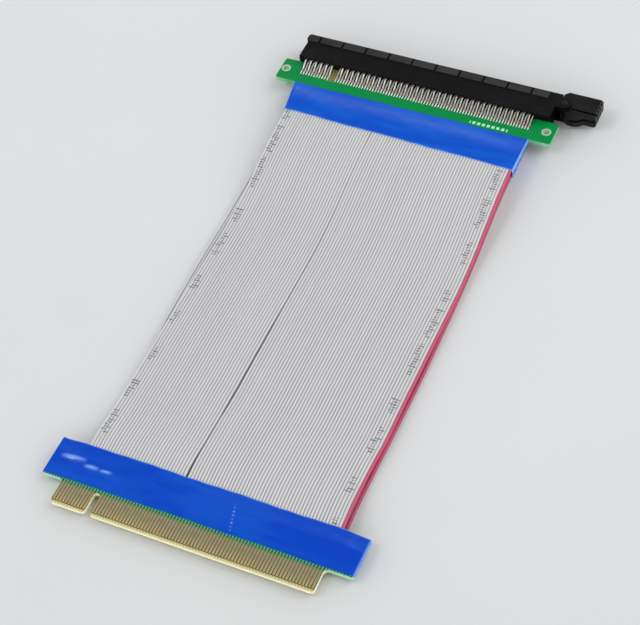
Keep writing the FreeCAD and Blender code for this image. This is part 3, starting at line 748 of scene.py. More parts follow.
@dataclass(frozen=True)
class MouldedPlastic(Finish):
    """Black moulded plastic with a fine grain, and a painted sheen that greys the faces which stand out."""

    name: str
    proud_above: float
    proud_below: float
    roughness: Pair
    gloss: float
    black: Colour = (0.004, 0.004, 0.0045, 1.0)
    worn: Colour = (0.012, 0.012, 0.0126, 1.0)
    # Painted sheen: the grey of the faces above and below the two heights.
    proud_sheen: Colour = (0.04, 0.04, 0.0415, 1.0)
    rub_grain: float = 5.0
    worn_band: Pair = (0.5, 0.8)
    worn_most: float = 0.6
    proud_sheen_band: Pair = (0.25, 0.65)
    proud_sheen_least: float = 0.6
    dent_grain: float = 0.12
    dent_deep: float = 0.012
    edge_round: float = 0.18

    def material(self) -> bpy.types.Material:
        """Make the plastic: a painted sheen greys it above and below two heights, and it is greyer in soft
        worn patches.

        Returns:
            The material.
        """
        bench = MaterialBench(self.name)
        height = bench.axis("Z")
        # Noise for the worn patches, which also breaks up the painted sheen.
        wear_and_sheen = bench.noise(self.rub_grain, detail=4.0, stretch=(2.0, 1.0, 1.0))
        colour = wear_and_sheen.ease(*self.worn_band, 0.0, self.worn_most).blend(self.black, self.worn)
        # Share of the painted sheen on the faces that stand out.
        proud_sheen = (height > self.proud_above).apply("MAXIMUM", height < self.proud_below)
        proud_sheen = proud_sheen * wear_and_sheen.ease(*self.proud_sheen_band, self.proud_sheen_least, 1.0)
        bench.relief(bench.noise(self.dent_grain), self.dent_deep, strength=0.5, edge=self.edge_round)
        return bench.finish(Base_Color=proud_sheen.blend(colour, self.proud_sheen), Specular_IOR_Level=self.gloss,
                            Roughness=wear_and_sheen.ease(*NOISE_BAND, *self.roughness))


@dataclass(frozen=True)
class StudioPaint(Finish):
    """Matt pale paint of the floor, with wide faint clouds."""

    name: str = "studio_paint"
    pale: Colour = (0.77, 0.785, 0.795, 1.0)
    paler: Colour = (0.8, 0.815, 0.822, 1.0)
    cloud_grain: float = 60.0

    def material(self) -> bpy.types.Material:
        """Make the paint.

        Returns:
            The material.
        """
        bench = MaterialBench(self.name)
        colour = bench.noise(self.cloud_grain).blend(self.pale, self.paler)
        return bench.finish(Base_Color=colour, Roughness=0.9, Specular_IOR_Level=0.1)


@dataclass(frozen=True)
class Connector:
    """Places of the pins along a connector, in two banks on either side of its key."""

    middle: float
    short_first: float = -41.5
    short_pins: int = 11
    long_first: float = -28.5
    long_pins: int = 71
    pitch: float = 1.0

    @property
    def key(self) -> float:
        """Middle of the key along X."""
        return self.middle + (self.short_first + self.pitch * (self.short_pins - 1) + self.long_first) / 2.0

    def pins(self) -> Array:
        """Places of all pins along X."""
        banks = ((self.short_first, self.short_pins), (self.long_first, self.long_pins))
        return self.middle + np.concatenate([first + self.pitch * np.arange(count) for first, count in banks])


@dataclass(frozen=True)
class RibbonRun:
    """Course of the lead between its boards: two layers, each of a left and a right ribbon."""

    start_y: float
    end_y: float
    plug_left: float
    drift: float
    levels: dict[Layer, Triple]
    left_wires: int = 32
    right_wires: int = 50
    pitch: float = 1.0
    slit: float = 0.3
    wire_half: float = 0.45
    web_half: float = 0.17
    web_round: float = 0.8
    edge_half: float = 0.05
    strip_long: float = 6.0
    strip_thick: float = 0.2
    fall_start: float = 10.0
    fall_end: float = 30.0
    rise_long: float = 50.0
    slot_flat: float = 11.5
    slit_knots: tuple[Pair, ...] = (
        (0.0, 0.62), (0.08, 0.55), (0.13, 0.25), (0.2, 0.2), (0.25, 0.5), (0.42, 0.42), (0.48, 0.2),
        (0.78, 0.06), (0.88, 0.04), (0.94, 0.14), (1.0, 0.14))
    sag_wave: float = 0.12

    @classmethod
    def from_frame(cls) -> "RibbonRun":
        """Read the run's ends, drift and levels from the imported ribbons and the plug's board.

        A left ribbon's box ends at its left edge beside the slot and at its right edge beside the plug.

        Returns:
            The run.
        """
        low, high = node_box("ribbon_top_left")
        plug_left = high[0] - cls.left_wires * cls.pitch
        board = dict(zip((Layer.BOTTOM, Layer.TOP), (corner[2] for corner in node_box("plug_board"))))
        levels = {}
        for layer in Layer:
            floor, top = (corner[2] for corner in node_box(f"ribbon_{layer.word}_left"))
            levels[layer] = (board[layer] + layer.value * cls.wire_half, floor + cls.wire_half,
                             top - cls.wire_half)
        return cls(low[1], high[1], plug_left, low[0] - plug_left, levels)

    @property
    def length(self) -> float:
        """Length of the run along Y."""
        return self.end_y - self.start_y

    @property
    def width(self) -> float:
        """Width of one layer."""
        return (self.left_wires + self.right_wires) * self.pitch + self.slit

    @property
    def rise(self) -> Pair:
        """Where the rise to the slot starts and ends along the run."""
        end = self.length - self.slot_flat
        return end - self.rise_long, end

    def left_edge(self, along: Array) -> Array:
        """Left edge of a layer: it drifts evenly along the run."""
        return self.plug_left + self.drift * along / self.length

    def thickness(self, along: Array) -> Array:
        """Share of the full thickness: thin at the stripped ends, then full after smooth steps."""
        inside = np.minimum(along, self.length - along)
        return self.strip_thick + (1.0 - self.strip_thick) * smooth_step(inside, 0.0, self.strip_long)

    def height(self, layer: Layer, along: Array) -> Array:
        """Height of a layer's middle: two two-arc steps, and a slight wave between them.

        At the stripped ends the layer comes closer to its board by half of the thickness that it lacks.

        Args:
            layer: The layer.
            along: Distance along the run.

        Returns:
            The height at each distance.
        """
        plug, table, slot = self.levels[layer]
        rise_start = self.rise[0]
        fall = two_arc_step((along - self.fall_start) / (self.fall_end - self.fall_start))
        rise = two_arc_step((along - rise_start) / self.rise_long)
        free = np.clip((along - self.fall_end) / (rise_start - self.fall_end), 0.0, 1.0)
        wave = self.sag_wave * (0.5 - 0.5 * np.cos(4.0 * math.pi * free))
        seated = layer.value * self.wire_half * (1.0 - self.thickness(along))
        return plug + (table - plug) * fall + (slot - table) * rise + wave - seated

    def slit_wide(self, along: Array) -> Array:
        """Width of the slit, on straight lines between its knots of a share of the run and a width."""
        shares, widths = zip(*self.slit_knots)
        return np.interp(along / self.length, shares, widths)

    def half_thick(self, across: Array, wires: int) -> Array:
        """Half thickness of a ribbon: a half circle over each wire, cut off at the web between two.

        Args:
            across: Place in the section, counted in wires from its left edge.
            wires: Wires in the ribbon.

        Returns:
            The half thickness, which falls to the edge's own at both outer edges.
        """
        arch = np.sqrt(np.clip(1.0 - (2.0 * (across % 1.0) - 1.0) ** 2, 0.0, 1.0))
        outer = (across < 0.5) | (across > wires - 0.5)
        low = np.where(outer, self.edge_half, self.web_half)
        return low + (self.wire_half - low) * arch ** np.where(outer, 1.0, self.web_round)


@dataclass(frozen=True)
class Sway:
    """How a ribbon swings aside: one way from the plug to its turn, then its own way up to the slot."""

    near: float
    far: float
    turn: float

    def aside(self, share: Array) -> Array:
        """Distance aside: a squared half sine wave on either side of the turn.

        Args:
            share: Share of the run.

        Returns:
            The distance along X at each share.
        """
        before = np.minimum(share / self.turn, 1.0)
        after = np.maximum((share - self.turn) / (1.0 - self.turn), 0.0)
        return self.near * np.sin(math.pi * before) ** 2 + self.far * np.sin(math.pi * after) ** 2


@dataclass(frozen=True)
class Ribbon:
    """One flat ribbon of wires."""

    run: RibbonRun
    layer: Layer
    side: Side
    sway: Sway
    print_row: InkRow | None = None
    over_wire: tuple[float, ...] = (0.0, 0.07, 0.2, 0.35, 0.5, 0.65, 0.8, 0.93)
    strip_stations: int = 6
    fall_stations: int = 13
    free_stations: int = 21
    rise_stations: int = 17
    sharp_angle: float = 75.0

    @property
    def node(self) -> str:
        """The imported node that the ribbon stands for."""
        return f"ribbon_{self.layer.word}_{self.side.value}"

    @property
    def wires(self) -> int:
        """Number of wires."""
        return self.run.left_wires if self.side is Side.LEFT else self.run.right_wires

    def stations(self) -> Array:
        """Places of the section along the run, close together at the ends and in the bends.

        Returns:
            The distances from the run's start.
        """
        run = self.run
        rise_start, rise_end = run.rise
        strip = np.linspace(0.0, run.strip_long, self.strip_stations)
        fall = np.linspace(run.fall_start, run.fall_end, self.fall_stations)
        free = np.linspace(run.fall_end, rise_start, self.free_stations)[1:-1]
        rise = np.linspace(rise_start, rise_end, self.rise_stations)
        return np.concatenate([strip, fall, free, rise, run.length - strip[::-1]])

    def left(self, along: Array) -> Array:
        """Left edge: the layer's, set aside by the slit's width and by the ribbon's own sway.

        Args:
            along: Distance along the run.

        Returns:
            The edge's place along X at each distance.
        """
        run = self.run
        spread = (run.slit_wide(along) - run.slit) / 2.0
        first = -spread if self.side is Side.LEFT else run.left_wires * run.pitch + run.slit + spread
        return run.left_edge(along) + first + self.sway.aside(along / run.length)

    def build(self) -> bpy.types.Object:
        """Build the ribbon: its scalloped section is carried along the run.

        The section's upper side goes from left to right and its lower side back, each at the half
        thickness from the middle height; the ends are closed between the two sides.

        Returns:
            The piece, dressed and riding.
        """
        run = self.run
        across = np.append(np.add.outer(np.arange(self.wires), self.over_wire).ravel(), float(self.wires))
        half = run.half_thick(across, self.wires)
        loop = np.concatenate([across, across[::-1]])
        lift = np.concatenate([half, -half[::-1]])
        along = self.stations()
        points = np.empty((len(along), len(loop), 3))
        points[..., 0] = self.left(along)[:, None] + loop * run.pitch
        points[..., 1] = run.start_y + along[:, None]
        points[..., 2] = run.height(self.layer, along)[:, None] + lift * run.thickness(along)[:, None]
        near = np.arange(len(across) - 1)
        far_side = len(loop) - 1 - near
        cap = np.stack([near, far_side, far_side - 1, near + 1], axis=-1)
        quads = np.concatenate([grid_quads(len(along), len(loop), closed=True), cap,
                                cap[:, ::-1] + (len(along) - 1) * len(loop)])
        finish = RibbonVinyl(self.node + "_vinyl", self.wires, self.side is Side.RIGHT, self.print_row)
        piece = make_piece(self.node + "_wires", points.reshape(-1, 3), quads, finish, self.sharp_angle,
                           across=np.tile(loop, len(along)))
        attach(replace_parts(piece, self.node), LEAD)
        return piece


@dataclass(frozen=True)
class RibbonBundle:
    """The four ribbons of the lead: the upper two are printed, and the lower two show at the sides."""

    run: RibbonRun
    left_print: InkRow = InkRow(low=0.7, high=2.8)
    right_print: InkRow = InkRow(low=45.5, high=47.5, shift=53.0)
    upper_sway: Sway = Sway(near=-0.7, far=0.9, turn=0.3)
    left_sway: Sway = Sway(near=0.0, far=-1.7, turn=0.05)
    right_sway: Sway = Sway(near=0.0, far=1.2, turn=0.05)

    def build(self) -> list[bpy.types.Object]:
        """Build the ribbons, upper layer first."""
        ribbons = (Ribbon(self.run, Layer.TOP, Side.LEFT, self.upper_sway, self.left_print),
                   Ribbon(self.run, Layer.TOP, Side.RIGHT, self.upper_sway, self.right_print),
                   Ribbon(self.run, Layer.BOTTOM, Side.LEFT, self.left_sway),
                   Ribbon(self.run, Layer.BOTTOM, Side.RIGHT, self.right_sway))
        return [ribbon.build() for ribbon in ribbons]


@dataclass(frozen=True)
class Crease:
    """A ridge in a film that runs along X and fades out at both ends."""

    start: float
    end: float
    middle: float
    slant: float
    high: float
    half_wide: float

    def rise(self, x: Array, y: Array) -> Array:
        """Share of the ridge's height: a bell curve across it, times the root of half a sine wave along it.

        Args:
            x: Places along X.
            y: Places along Y.

        Returns:
            The share at each place.
        """
        share = np.clip((x - self.start) / (self.end - self.start), 0.0, 1.0)
        crest = self.middle + self.slant * (share - 0.5)
        return np.sqrt(np.sin(math.pi * share)) * bell(y - crest, self.half_wide)


@dataclass(frozen=True)
class BeadRow:
    """A slanting row of small beads in a film, which runs along Y and fades out at both ends."""

    x: float = 9.85
    slant: float = -0.25
    half_wide: float = 0.3
    high: float = 0.08
    pitch: float = 1.1
    start: Pair = (0.8, 1.4)
    end: Pair = (8.1, 8.9)
    uneven: float = 0.3
    uneven_turn: float = 2.3
    reach: Pair = (-3.4, 0.8)
    column_count: int = 43

    def columns(self) -> Array:
        """Close places along X about the row."""
        return self.x + np.linspace(*self.reach, self.column_count)

    def rise(self, x: Array, within: Array) -> Array:
        """Share of the beads' height: a bell curve along X times squared waves along Y that fade out.

        Args:
            x: Places along X.
            within: Distance inwards from the film's edge on the plug's side.

        Returns:
            The share at each place.
        """
        across = bell(x - self.x - self.slant * within, self.half_wide)
        wave = (0.5 + 0.5 * np.cos(2.0 * math.pi * within / self.pitch)) ** 2
        fade = smooth_step(within, *self.start) * (1.0 - smooth_step(within, *self.end))
        return across * wave * fade * (1.0 - self.uneven * (1.0 - np.sin(self.uneven_turn * within)))


@dataclass(frozen=True)
class TapeStrip(ABC):
    """A strip of film that climbs from a board onto the ribbons of one layer."""

    run: RibbonRun
    layer: Layer
    board: str
    node_stem: str
    inset: float = 0.0
    film: float = 0.12
    clear: float = 0.2
    ripple: float = 0.03
    ripple_turns: tuple[Pair, Pair] = ((0.9, 0.5), (0.37, -1.1))
    wavers: tuple[Triple, ...] = ((0.1, 0.21, 0.0), (0.05, 0.83, 1.0))
    column_step: float = 0.5
    column_gap: float = 0.1
    row_count: int = 57
    row_crowd: float = 0.05
    # Painted highlight along an edge of the film: its half width and its most.
    hem_wide: float = 0.22
    hem_highlight_most: float = 0.7
    tucks: Pair = (0.0, 0.0)
    tuck_out: float = 0.14
    tuck_columns: int = 5
    far_past: float = 0.0
    gloss: float = 0.22
    blues: tuple[Colour, Colour] = ((0.004, 0.062, 0.58, 1.0), (0.007, 0.092, 0.63, 1.0))
    sharp_angle: float = 50.0

    @property
    def node(self) -> str:
        """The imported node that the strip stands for."""
        return f"{self.node_stem}_{self.layer.word}"

    @property
    def face(self) -> float:
        """Height of the board's face under the strip."""
        return node_box(self.board)[1 if self.layer is Layer.TOP else 0][2]

    def limits(self) -> tuple[Array, Array]:
        """Corners of the strip in plan."""
        low, high = node_box(self.node)
        return low[:2] + self.inset, high[:2] - self.inset

    def within(self, y: Array) -> Array:
        """Distance inwards from the strip's edge on the plug's side."""
        return y - self.limits()[0][1]

    def columns(self) -> Array:
        """Places of the surface along X between the film's ends."""
        low, high = self.limits()
        return np.linspace(low[0], high[0], int(round((high[0] - low[0]) / self.column_step)) + 1)

    def all_columns(self) -> Array:
        """Places of the surface along X, with a few past each end that is tucked down.

        Returns:
            The places, from left to right.
        """
        columns = self.columns()
        past = np.linspace(0.0, self.tuck_out, self.tuck_columns + 1)[1:]
        left, right = (past if tuck > 0.0 else past[:0] for tuck in self.tucks)
        return np.concatenate([columns[0] - left[::-1], columns, columns[-1] + right])

    def rows(self) -> Array:
        """Places of the surface along Y, close together at both edges: a line less a whole sine wave.

        Returns:
            The places, from the plug's side on.
        """
        low, high = self.limits()
        share = np.linspace(0.0, 1.0, self.row_count)
        return low[1] + (high[1] - low[1]) * (share - self.row_crowd * np.sin(2.0 * math.pi * share))

    def beside(self, x: Array, y: Array) -> tuple[Array, Array]:
        """Distance inwards from the ribbons' left and right edge, negative outside them."""
        edge = self.run.left_edge(y - self.run.start_y)
        return x - edge, edge + self.run.width - x

    @abstractmethod
    def foot(self, y: Array) -> Array:
        """Height of the film's outer edges over the board's face at a place along Y."""

    @abstractmethod
    def side(self, x: Array, y: Array) -> Array:
        """Share of the way from the foot to the climbed height, which falls off beside the ribbons."""

    @abstractmethod
    def climb(self, y: Array) -> Array:
        """Share of the ribbons' thickness that the film has climbed at a place along Y."""

    @abstractmethod
    def highlight_share(self, x: Array, y: Array) -> Array:
        """Share of the painted highlight at a place."""

    @abstractmethod
    def near_past(self, x: Array) -> Array:
        """How far the film's edge on the plug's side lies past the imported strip's at a place along X."""

    def hem_highlight(self, y: Array, edge: float) -> Array:
        """Painted highlight along an edge of the film along Y: a bell curve about it."""
        return self.hem_highlight_most * bell(y - edge, self.hem_wide)

    def flare(self, x: Array, share: Array) -> Array:
        """How far the film spreads along X, at a share of the way along Y: not at all."""
        return np.zeros_like(x)

    def wrinkles(self, x: Array, y: Array) -> Array:
        """Extra height of the film at a place: a slight uneven ripple, of two crossed sine waves."""
        first, second = (np.sin(along_x * x + along_y * y) for along_x, along_y in self.ripple_turns)
        return self.ripple * (0.5 + 0.5 * first * second)

    def build(self) -> bpy.types.Object:
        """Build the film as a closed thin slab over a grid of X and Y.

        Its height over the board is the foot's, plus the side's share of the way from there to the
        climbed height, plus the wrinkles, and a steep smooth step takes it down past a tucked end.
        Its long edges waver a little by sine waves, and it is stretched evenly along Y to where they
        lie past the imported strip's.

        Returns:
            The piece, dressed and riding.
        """
        up = self.layer.value
        low, high = self.limits()
        x, y = np.meshgrid(self.all_columns(), self.rows())
        share = self.within(y) / (high[1] - low[1])
        tucked = smooth_step(np.maximum(low[0] - x, x - high[0]), 0.0, self.tuck_out)
        tuck = np.where(2.0 * x < low[0] + high[0], *self.tucks)
        x = x + self.flare(x, share)
        foot = self.foot(y)
        full = 2.0 * self.run.wire_half
        under = foot + (full * self.climb(y) - foot) * self.side(x, y) + self.wrinkles(x, y)
        under = under - (under + tuck) * tucked
        waver = sum(size * np.sin(turn * x + phase) for size, turn, phase in self.wavers)
        near = self.near_past(x)
        placed_y = y + waver * (2.0 * share - 1.0) + self.far_past * share - near * (1.0 - share)
        points = slab_points(self.layer, x, placed_y, self.face + up * (under + self.film),
                             self.face + up * under)
        finish = TapeFilm(self.node + "_blue", *self.blues, self.gloss)
        # The attribute named pale carries the share of painted highlight.
        piece = make_piece(self.node + "_film", points, slab_quads(*x.shape), finish, self.sharp_angle,
                           pale=np.tile(self.highlight_share(x, y).ravel(), 2))
        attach(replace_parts(piece, self.node), LEAD)
        return piece


@dataclass(frozen=True)
class PlugTape(TapeStrip):
    """Film from end to end of the plug's board, which it bridges beside the ribbons."""

    row_count: int = 97
    near_short: float = 0.25
    rim: float = 0.8
    lip: float = 0.22
    lip_band: Pair = (1.0, 3.2)
    climb_band: Pair = (2.4, 8.4)
    creases: tuple[Crease, ...] = ()
    # Painted highlights on the creases' crests, the right end and the beads, and a painted sheen in a band
    # over the vinyl.
    crest_power: float = 1.5
    band_sheen: float = 0.03
    band_y: Pair = (7.2, 8.2)
    band_x: Pair = (-20.0, 15.0)
    band_least: float = 0.15
    end_highlight: float = 0.7
    end_wide: float = 0.3
    beads: BeadRow = BeadRow()
    bead_highlight: float = 0.85

    def columns(self) -> Array:
        """Even places along X, and closer ones about the row of beads.

        Returns:
            The places, from left to right.
        """
        even = super().columns()
        close = self.beads.columns()
        away = (even < close[0] - self.column_gap) | (even > close[-1] + self.column_gap)
        return np.sort(np.concatenate([even[away], close]))

    def foot(self, y: Array) -> Array:
        """Flat on the board."""
        return np.zeros_like(y)

    def near_past(self, x: Array) -> Array:
        """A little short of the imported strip's edge all along."""
        return np.full_like(x, -self.near_short)

    def side(self, x: Array, y: Array) -> Array:
        """Smooth steps from a rim at the board's ends up to the ribbons' edges.

        Args:
            x: Places along X.
            y: Places along Y.

        Returns:
            The share of the way up at each place.
        """
        low, high = self.limits()
        left, right = self.beside(x, y)
        left_long = x - left - self.clear - low[0] - self.rim
        right_long = high[0] - self.rim - x - right - self.clear
        return smooth_step(left / left_long, -1.0, 0.0) * smooth_step(right / right_long, -1.0, 0.0)

    def climb(self, y: Array) -> Array:
        """A low smooth step onto the wires' stripped ends, then a long one onto the vinyl."""
        lip, rest = (smooth_step(self.within(y), *band) for band in (self.lip_band, self.climb_band))
        return self.lip * lip + (1.0 - self.lip) * rest

    def highlight_share(self, x: Array, y: Array) -> Array:
        """Painted light: a faint sheen in a band over the vinyl, and highlights on the right end, the far
        edge, and the crests of creases and beads.

        Args:
            x: Places along X.
            y: Places along Y.

        Returns:
            The share of the painted highlight at each place.
        """
        right, far = self.limits()[1]
        within = self.within(y)
        # Painted sheen over the vinyl, then painted highlights on the right end, the far edge, the crests and
        # the beads.
        band = self.band_least + (1.0 - self.band_least) * smooth_step(x, *self.band_x)
        band = self.band_sheen * band * smooth_step(within, *self.band_y)
        end = self.end_highlight * bell(x - right, self.end_wide)
        crests = sum(crease.rise(x, y) ** self.crest_power for crease in self.creases)
        beads = self.bead_highlight * self.beads.rise(x, within)
        return np.clip(band + end + self.hem_highlight(y, far) + crests + beads, 0.0, 1.0)

    def wrinkles(self, x: Array, y: Array) -> Array:
        """The ripple, the creases and the beads."""
        ridges = sum(crease.high * crease.rise(x, y) for crease in self.creases)
        return super().wrinkles(x, y) + ridges + self.beads.high * self.beads.rise(x, self.within(y))


@dataclass(frozen=True)
class SlotTape(TapeStrip):
    """Film over the slot's board that wraps down close beside the ribbons."""

    blues: tuple[Colour, Colour] = ((0.006, 0.088, 0.62, 1.0), (0.011, 0.125, 0.7, 1.0))
    gloss: float = 0.13
    tucks: Pair = (0.0, 0.8)
    far_past: float = 0.7
    near_slope: float = 0.019
    near_level_x: float = -30.0
    wrap: float = 0.45
    wrap_down: float = 0.35
    wrap_long: float = 0.5
    left_out: Pair = (-0.5, 1.6)
    right_out: Pair = (-0.55, -0.65)
    flare_over: float = 4.0
    fall: Pair = (0.5, 8.0)
    # Painted highlight on the upper film's tucked fold, and a faint painted sheen in a band behind.
    fold_wide: float = 0.12
    fold_highlight: float = 0.9
    band_sheen: float = 0.05
    band_before: Pair = (6.0, 2.0)
    close_wide: float = 1.6
    close_columns: int = 13

    def columns(self) -> Array:
        """Even places along X, and closer ones where the film wraps down.

        Returns:
            The places, from left to right.
        """
        even = super().columns()
        close = np.linspace(0.0, self.close_wide, self.close_columns)
        left, right = even[0] + close, even[-1] - close[::-1]
        inside = (even > left[-1] + self.column_gap) & (even < right[0] - self.column_gap)
        return np.concatenate([left, even[inside], right])

    def flare(self, x: Array, share: Array) -> Array:
        """Outwards or inwards at both ends: smooth steps along X whose height changes evenly along Y.

        Args:
            x: Places along X.
            share: Share of the way along Y.

        Returns:
            The shift along X at each place.
        """
        low, high = self.limits()
        left = smooth_step(-x, -low[0] - self.flare_over, -low[0])
        right = smooth_step(x, high[0] - self.flare_over, high[0])
        left_out, right_out = (near + (far - near) * share for near, far in (self.left_out, self.right_out))
        return right * right_out - left * left_out

    def near_past(self, x: Array) -> Array:
        """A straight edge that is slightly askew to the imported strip's."""
        return self.near_slope * (x - self.near_level_x)

    def foot(self, y: Array) -> Array:
        """Flat on the board, and wrapped down beside the ribbons where they have not reached it yet."""
        before_board = node_box(self.board)[0][1] - y
        return -self.wrap_down * smooth_step(before_board, 0.0, self.wrap_long)

    def side(self, x: Array, y: Array) -> Array:
        """Smooth steps close beside the ribbons' edges."""
        start = -self.clear - self.wrap
        return math.prod(smooth_step(inside, start, -self.clear) for inside in self.beside(x, y))

    def climb(self, y: Array) -> Array:
        """Full over the vinyl, then a long smooth fall to the board."""
        return smooth_step(self.limits()[1][1] - y, *self.fall)

    def highlight_share(self, x: Array, y: Array) -> Array:
        """Painted light: a highlight on the upper film's tucked end and along the edge over the ribbons, and
        a faint sheen in a band behind.

        Args:
            x: Places along X.
            y: Places along Y.

        Returns:
            The share of the painted highlight at each place.
        """
        low, high = self.limits()
        # Painted highlight on the fold of the upper film.
        fold = self.fold_highlight * (self.layer is Layer.TOP)
        fold = fold * smooth_step(-self.beside(x, y)[1], 0.0, self.fold_wide)
        band = self.band_sheen * smooth_step(y, *(high[1] - before for before in self.band_before))
        return np.clip(fold + self.hem_highlight(y, low[1]) + band, 0.0, 1.0)


@dataclass(frozen=True)
class PlugEnd:
    """The plug: its board with the gold fingers, and the tape over the ribbons' ends."""

    run: RibbonRun
    connector: Connector
    creases: tuple[Crease, ...] = (
        Crease(start=-49.1, end=-40.3, middle=-86.6, slant=0.3, high=0.26, half_wide=0.65),
        Crease(start=-40.6, end=-35.6, middle=-87.85, slant=0.2, high=0.22, half_wide=0.6),
        Crease(start=-35.3, end=-31.3, middle=-87.85, slant=0.2, high=0.17, half_wide=0.45))
    upper_tuck: float = 1.1
    upper_past: float = 0.65
    lower_inset: float = 0.3
    tongue_tall: float = 8.25
    bevel_long: float = 0.9
    gold: PlatedMetal = PlatedMetal("finger_gold_plate", bright=(0.58, 0.475, 0.275, 1.0),
                                    dull=(0.43, 0.345, 0.205, 1.0), patch=3.0, roughness=(0.34, 0.5),
                                    metallic=0.6)
    # Lighter gold towards the tip: partly wear, partly a painted highlight.
    wear_and_highlight_gold: Colour = (0.74, 0.6, 0.28, 1.0)
    wear_and_highlight_long: float = 5.0
    wear_and_highlight_most: float = 0.75
    mask_lap: float = 0.9
    mask_most: float = 0.8

    def build(self) -> list[bpy.types.Object]:
        """Build both tapes, the upper one first."""
        tapes = (PlugTape(self.run, Layer.TOP, "plug_board", "plug_tape", creases=self.creases,
                          tucks=(self.upper_tuck, self.upper_tuck), far_past=self.upper_past),
                 PlugTape(self.run, Layer.BOTTOM, "plug_board", "plug_tape", inset=self.lower_inset))
        return [tape.build() for tape in tapes]

    def dress(self) -> None:
        """Dress the board and its fingers, which are lighter at their tips, partly worn and partly by a
        painted highlight, and lapped by the mask.
        """
        tip = node_box("plug_board")[0][1]
        bevel_end = tip + self.bevel_long
        finger_end = node_box("plug_fingers_top")[1][1]
        board = PlugLaminate("plug_laminate", self.connector.pins()[0], finger_end=finger_end,
                             shoulder=tip + self.tongue_tall, bevel_end=bevel_end)
        # Tint of lighter gold at the tip, partly wear and partly a painted highlight.
        wear_and_sheen = Tint(self.wear_and_highlight_gold, bevel_end, tip + self.wear_and_highlight_long, self.wear_and_highlight_most)
        lapped = Tint(board.comb_tooth, finger_end, finger_end - self.mask_lap, self.mask_most)
        dress_nodes(board, "plug_board")
        dress_nodes(replace(self.gold, tints=(wear_and_sheen, lapped)), "plug_fingers_top", "plug_fingers_bottom")


@dataclass(frozen=True)
class SlotEnd:
    """The slot: its board, screw holes, contacts, solder, housing, latch and tape."""

    run: RibbonRun
    connector: Connector
    solder_ahead: float = 1.1
    solder_behind: float = 1.6
    solder_half: float = 0.34
    solder_taper: float = 0.25
    solder_high: float = 0.3
    solder_sunk: float = 0.03
    solder_grid: tuple[int, int] = (5, 7)
    solder_powers: Pair = (0.6, 0.4)
    solder_angle: float = 60.0
    solder: PlatedMetal = PlatedMetal("solder_tin", bright=(0.93, 0.91, 0.88, 1.0),
                                      dull=(0.74, 0.66, 0.58, 1.0), patch=0.9, roughness=(0.2, 0.36),
                                      metallic=0.45)
    tin: PlatedMetal = PlatedMetal("contact_tin_plate", bright=(0.88, 0.85, 0.82, 1.0),
                                   dull=(0.62, 0.55, 0.49, 1.0), patch=1.5, roughness=(0.22, 0.4),
                                   metallic=0.6)
    rings: PlatedMetal = PlatedMetal("hole_tin", bright=(0.62, 0.9, 0.66, 1.0), dull=(0.44, 0.7, 0.48, 1.0),
                                     patch=1.0, roughness=(0.25, 0.4), metallic=0.4)
    line_lap: float = 1.0
    land_past: float = 0.6
    dash_x: Pair = (16.0, 29.4)
    dash_y: Pair = (79.3, 80.5)
    pad_raise: float = 0.21

    def build(self) -> list[bpy.types.Object]:
        """Build both tapes and both rows of solder."""
        tapes = [SlotTape(self.run, layer, "socket_board", "socket_tape") for layer in Layer]
        return [piece for tape in tapes for piece in (tape.build(), self.build_solder(tape.layer, tape.face))]

    def build_solder(self, layer: Layer, face: float) -> bpy.types.Object:
        """Build one row of solder fillets, a small pillow over each contact's foot and its land.

        A fillet's height over its square of parameters a and b, each from -1 to 1, is the full height
        times (1 - a squared) and (1 - b squared), each to its own power, and its width falls evenly
        along b towards the tape.

        Args:
            layer: Face of the board.
            face: Height of the board's face.

        Returns:
            The piece, dressed and riding.
        """
        foot_end = node_box(f"contacts_{layer.word}_outer")[0][1]
        start, end = foot_end - self.solder_ahead, foot_end + self.solder_behind
        a, b = np.meshgrid(*(np.linspace(-1.0, 1.0, count) for count in self.solder_grid))
        crown = math.prod((1.0 - place ** 2) ** power for place, power in zip((a, b), self.solder_powers))
        x = a * self.solder_half * (1.0 - self.solder_taper + self.solder_taper * b)
        y = (start + end) / 2.0 + b * (end - start) / 2.0
        inner = np.full_like(a, face - layer.value * self.solder_sunk)
        one = slab_points(layer, x, y, face + layer.value * crown * self.solder_high, inner)
        pins = self.connector.pins()
        points = np.repeat(one[None], len(pins), axis=0)
        points[..., 0] += pins[:, None]
        every = slab_quads(*a.shape)[None] + (np.arange(len(pins)) * len(one))[:, None, None]
        finish = replace(self.solder, name=f"solder_{layer.word}_tin")
        piece = make_piece(f"solder_{layer.word}", points.reshape(-1, 3), every.reshape(-1, 4), finish,
                           self.solder_angle)
        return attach(piece, LEAD)

    def dress(self) -> None:
        """Dress the board, the plated holes, the contacts, the housing and the latch."""
        pins = self.connector.pins()
        lines_y = (node_box("socket_tape_top")[1][1] - self.line_lap, node_box("contacts_top_outer")[0][1])
        middle = sum(corner[2] for corner in node_box("socket_board")) / 2.0
        board = SlotLaminate("slot_laminate", pins[0], lines_y=lines_y, dash_x=self.dash_x,
                             dash_y=self.dash_y, dash_above=middle, key_x=self.connector.key,
                             lands_x=(pins[0] - self.land_past, pins[-1] + self.land_past))
        floor, top = (corner[2] for corner in node_box("slot_housing"))
        housing = MouldedPlastic("slot_plastic", top - self.pad_raise, floor + self.pad_raise,
                                 roughness=(0.42, 0.55), gloss=0.08)
        latch = MouldedPlastic("latch_plastic", top, floor, roughness=(0.28, 0.42), gloss=0.22)
        rows = [f"contacts_{layer.word}_{row}" for layer in Layer for row in ("outer", "inner")]
        dress_nodes(board, "socket_board")
        dress_nodes(self.rings, "hole_plating")
        dress_nodes(self.tin, *rows)
        dress_nodes(housing, "slot_housing")
        dress_nodes(latch, "card_latch")


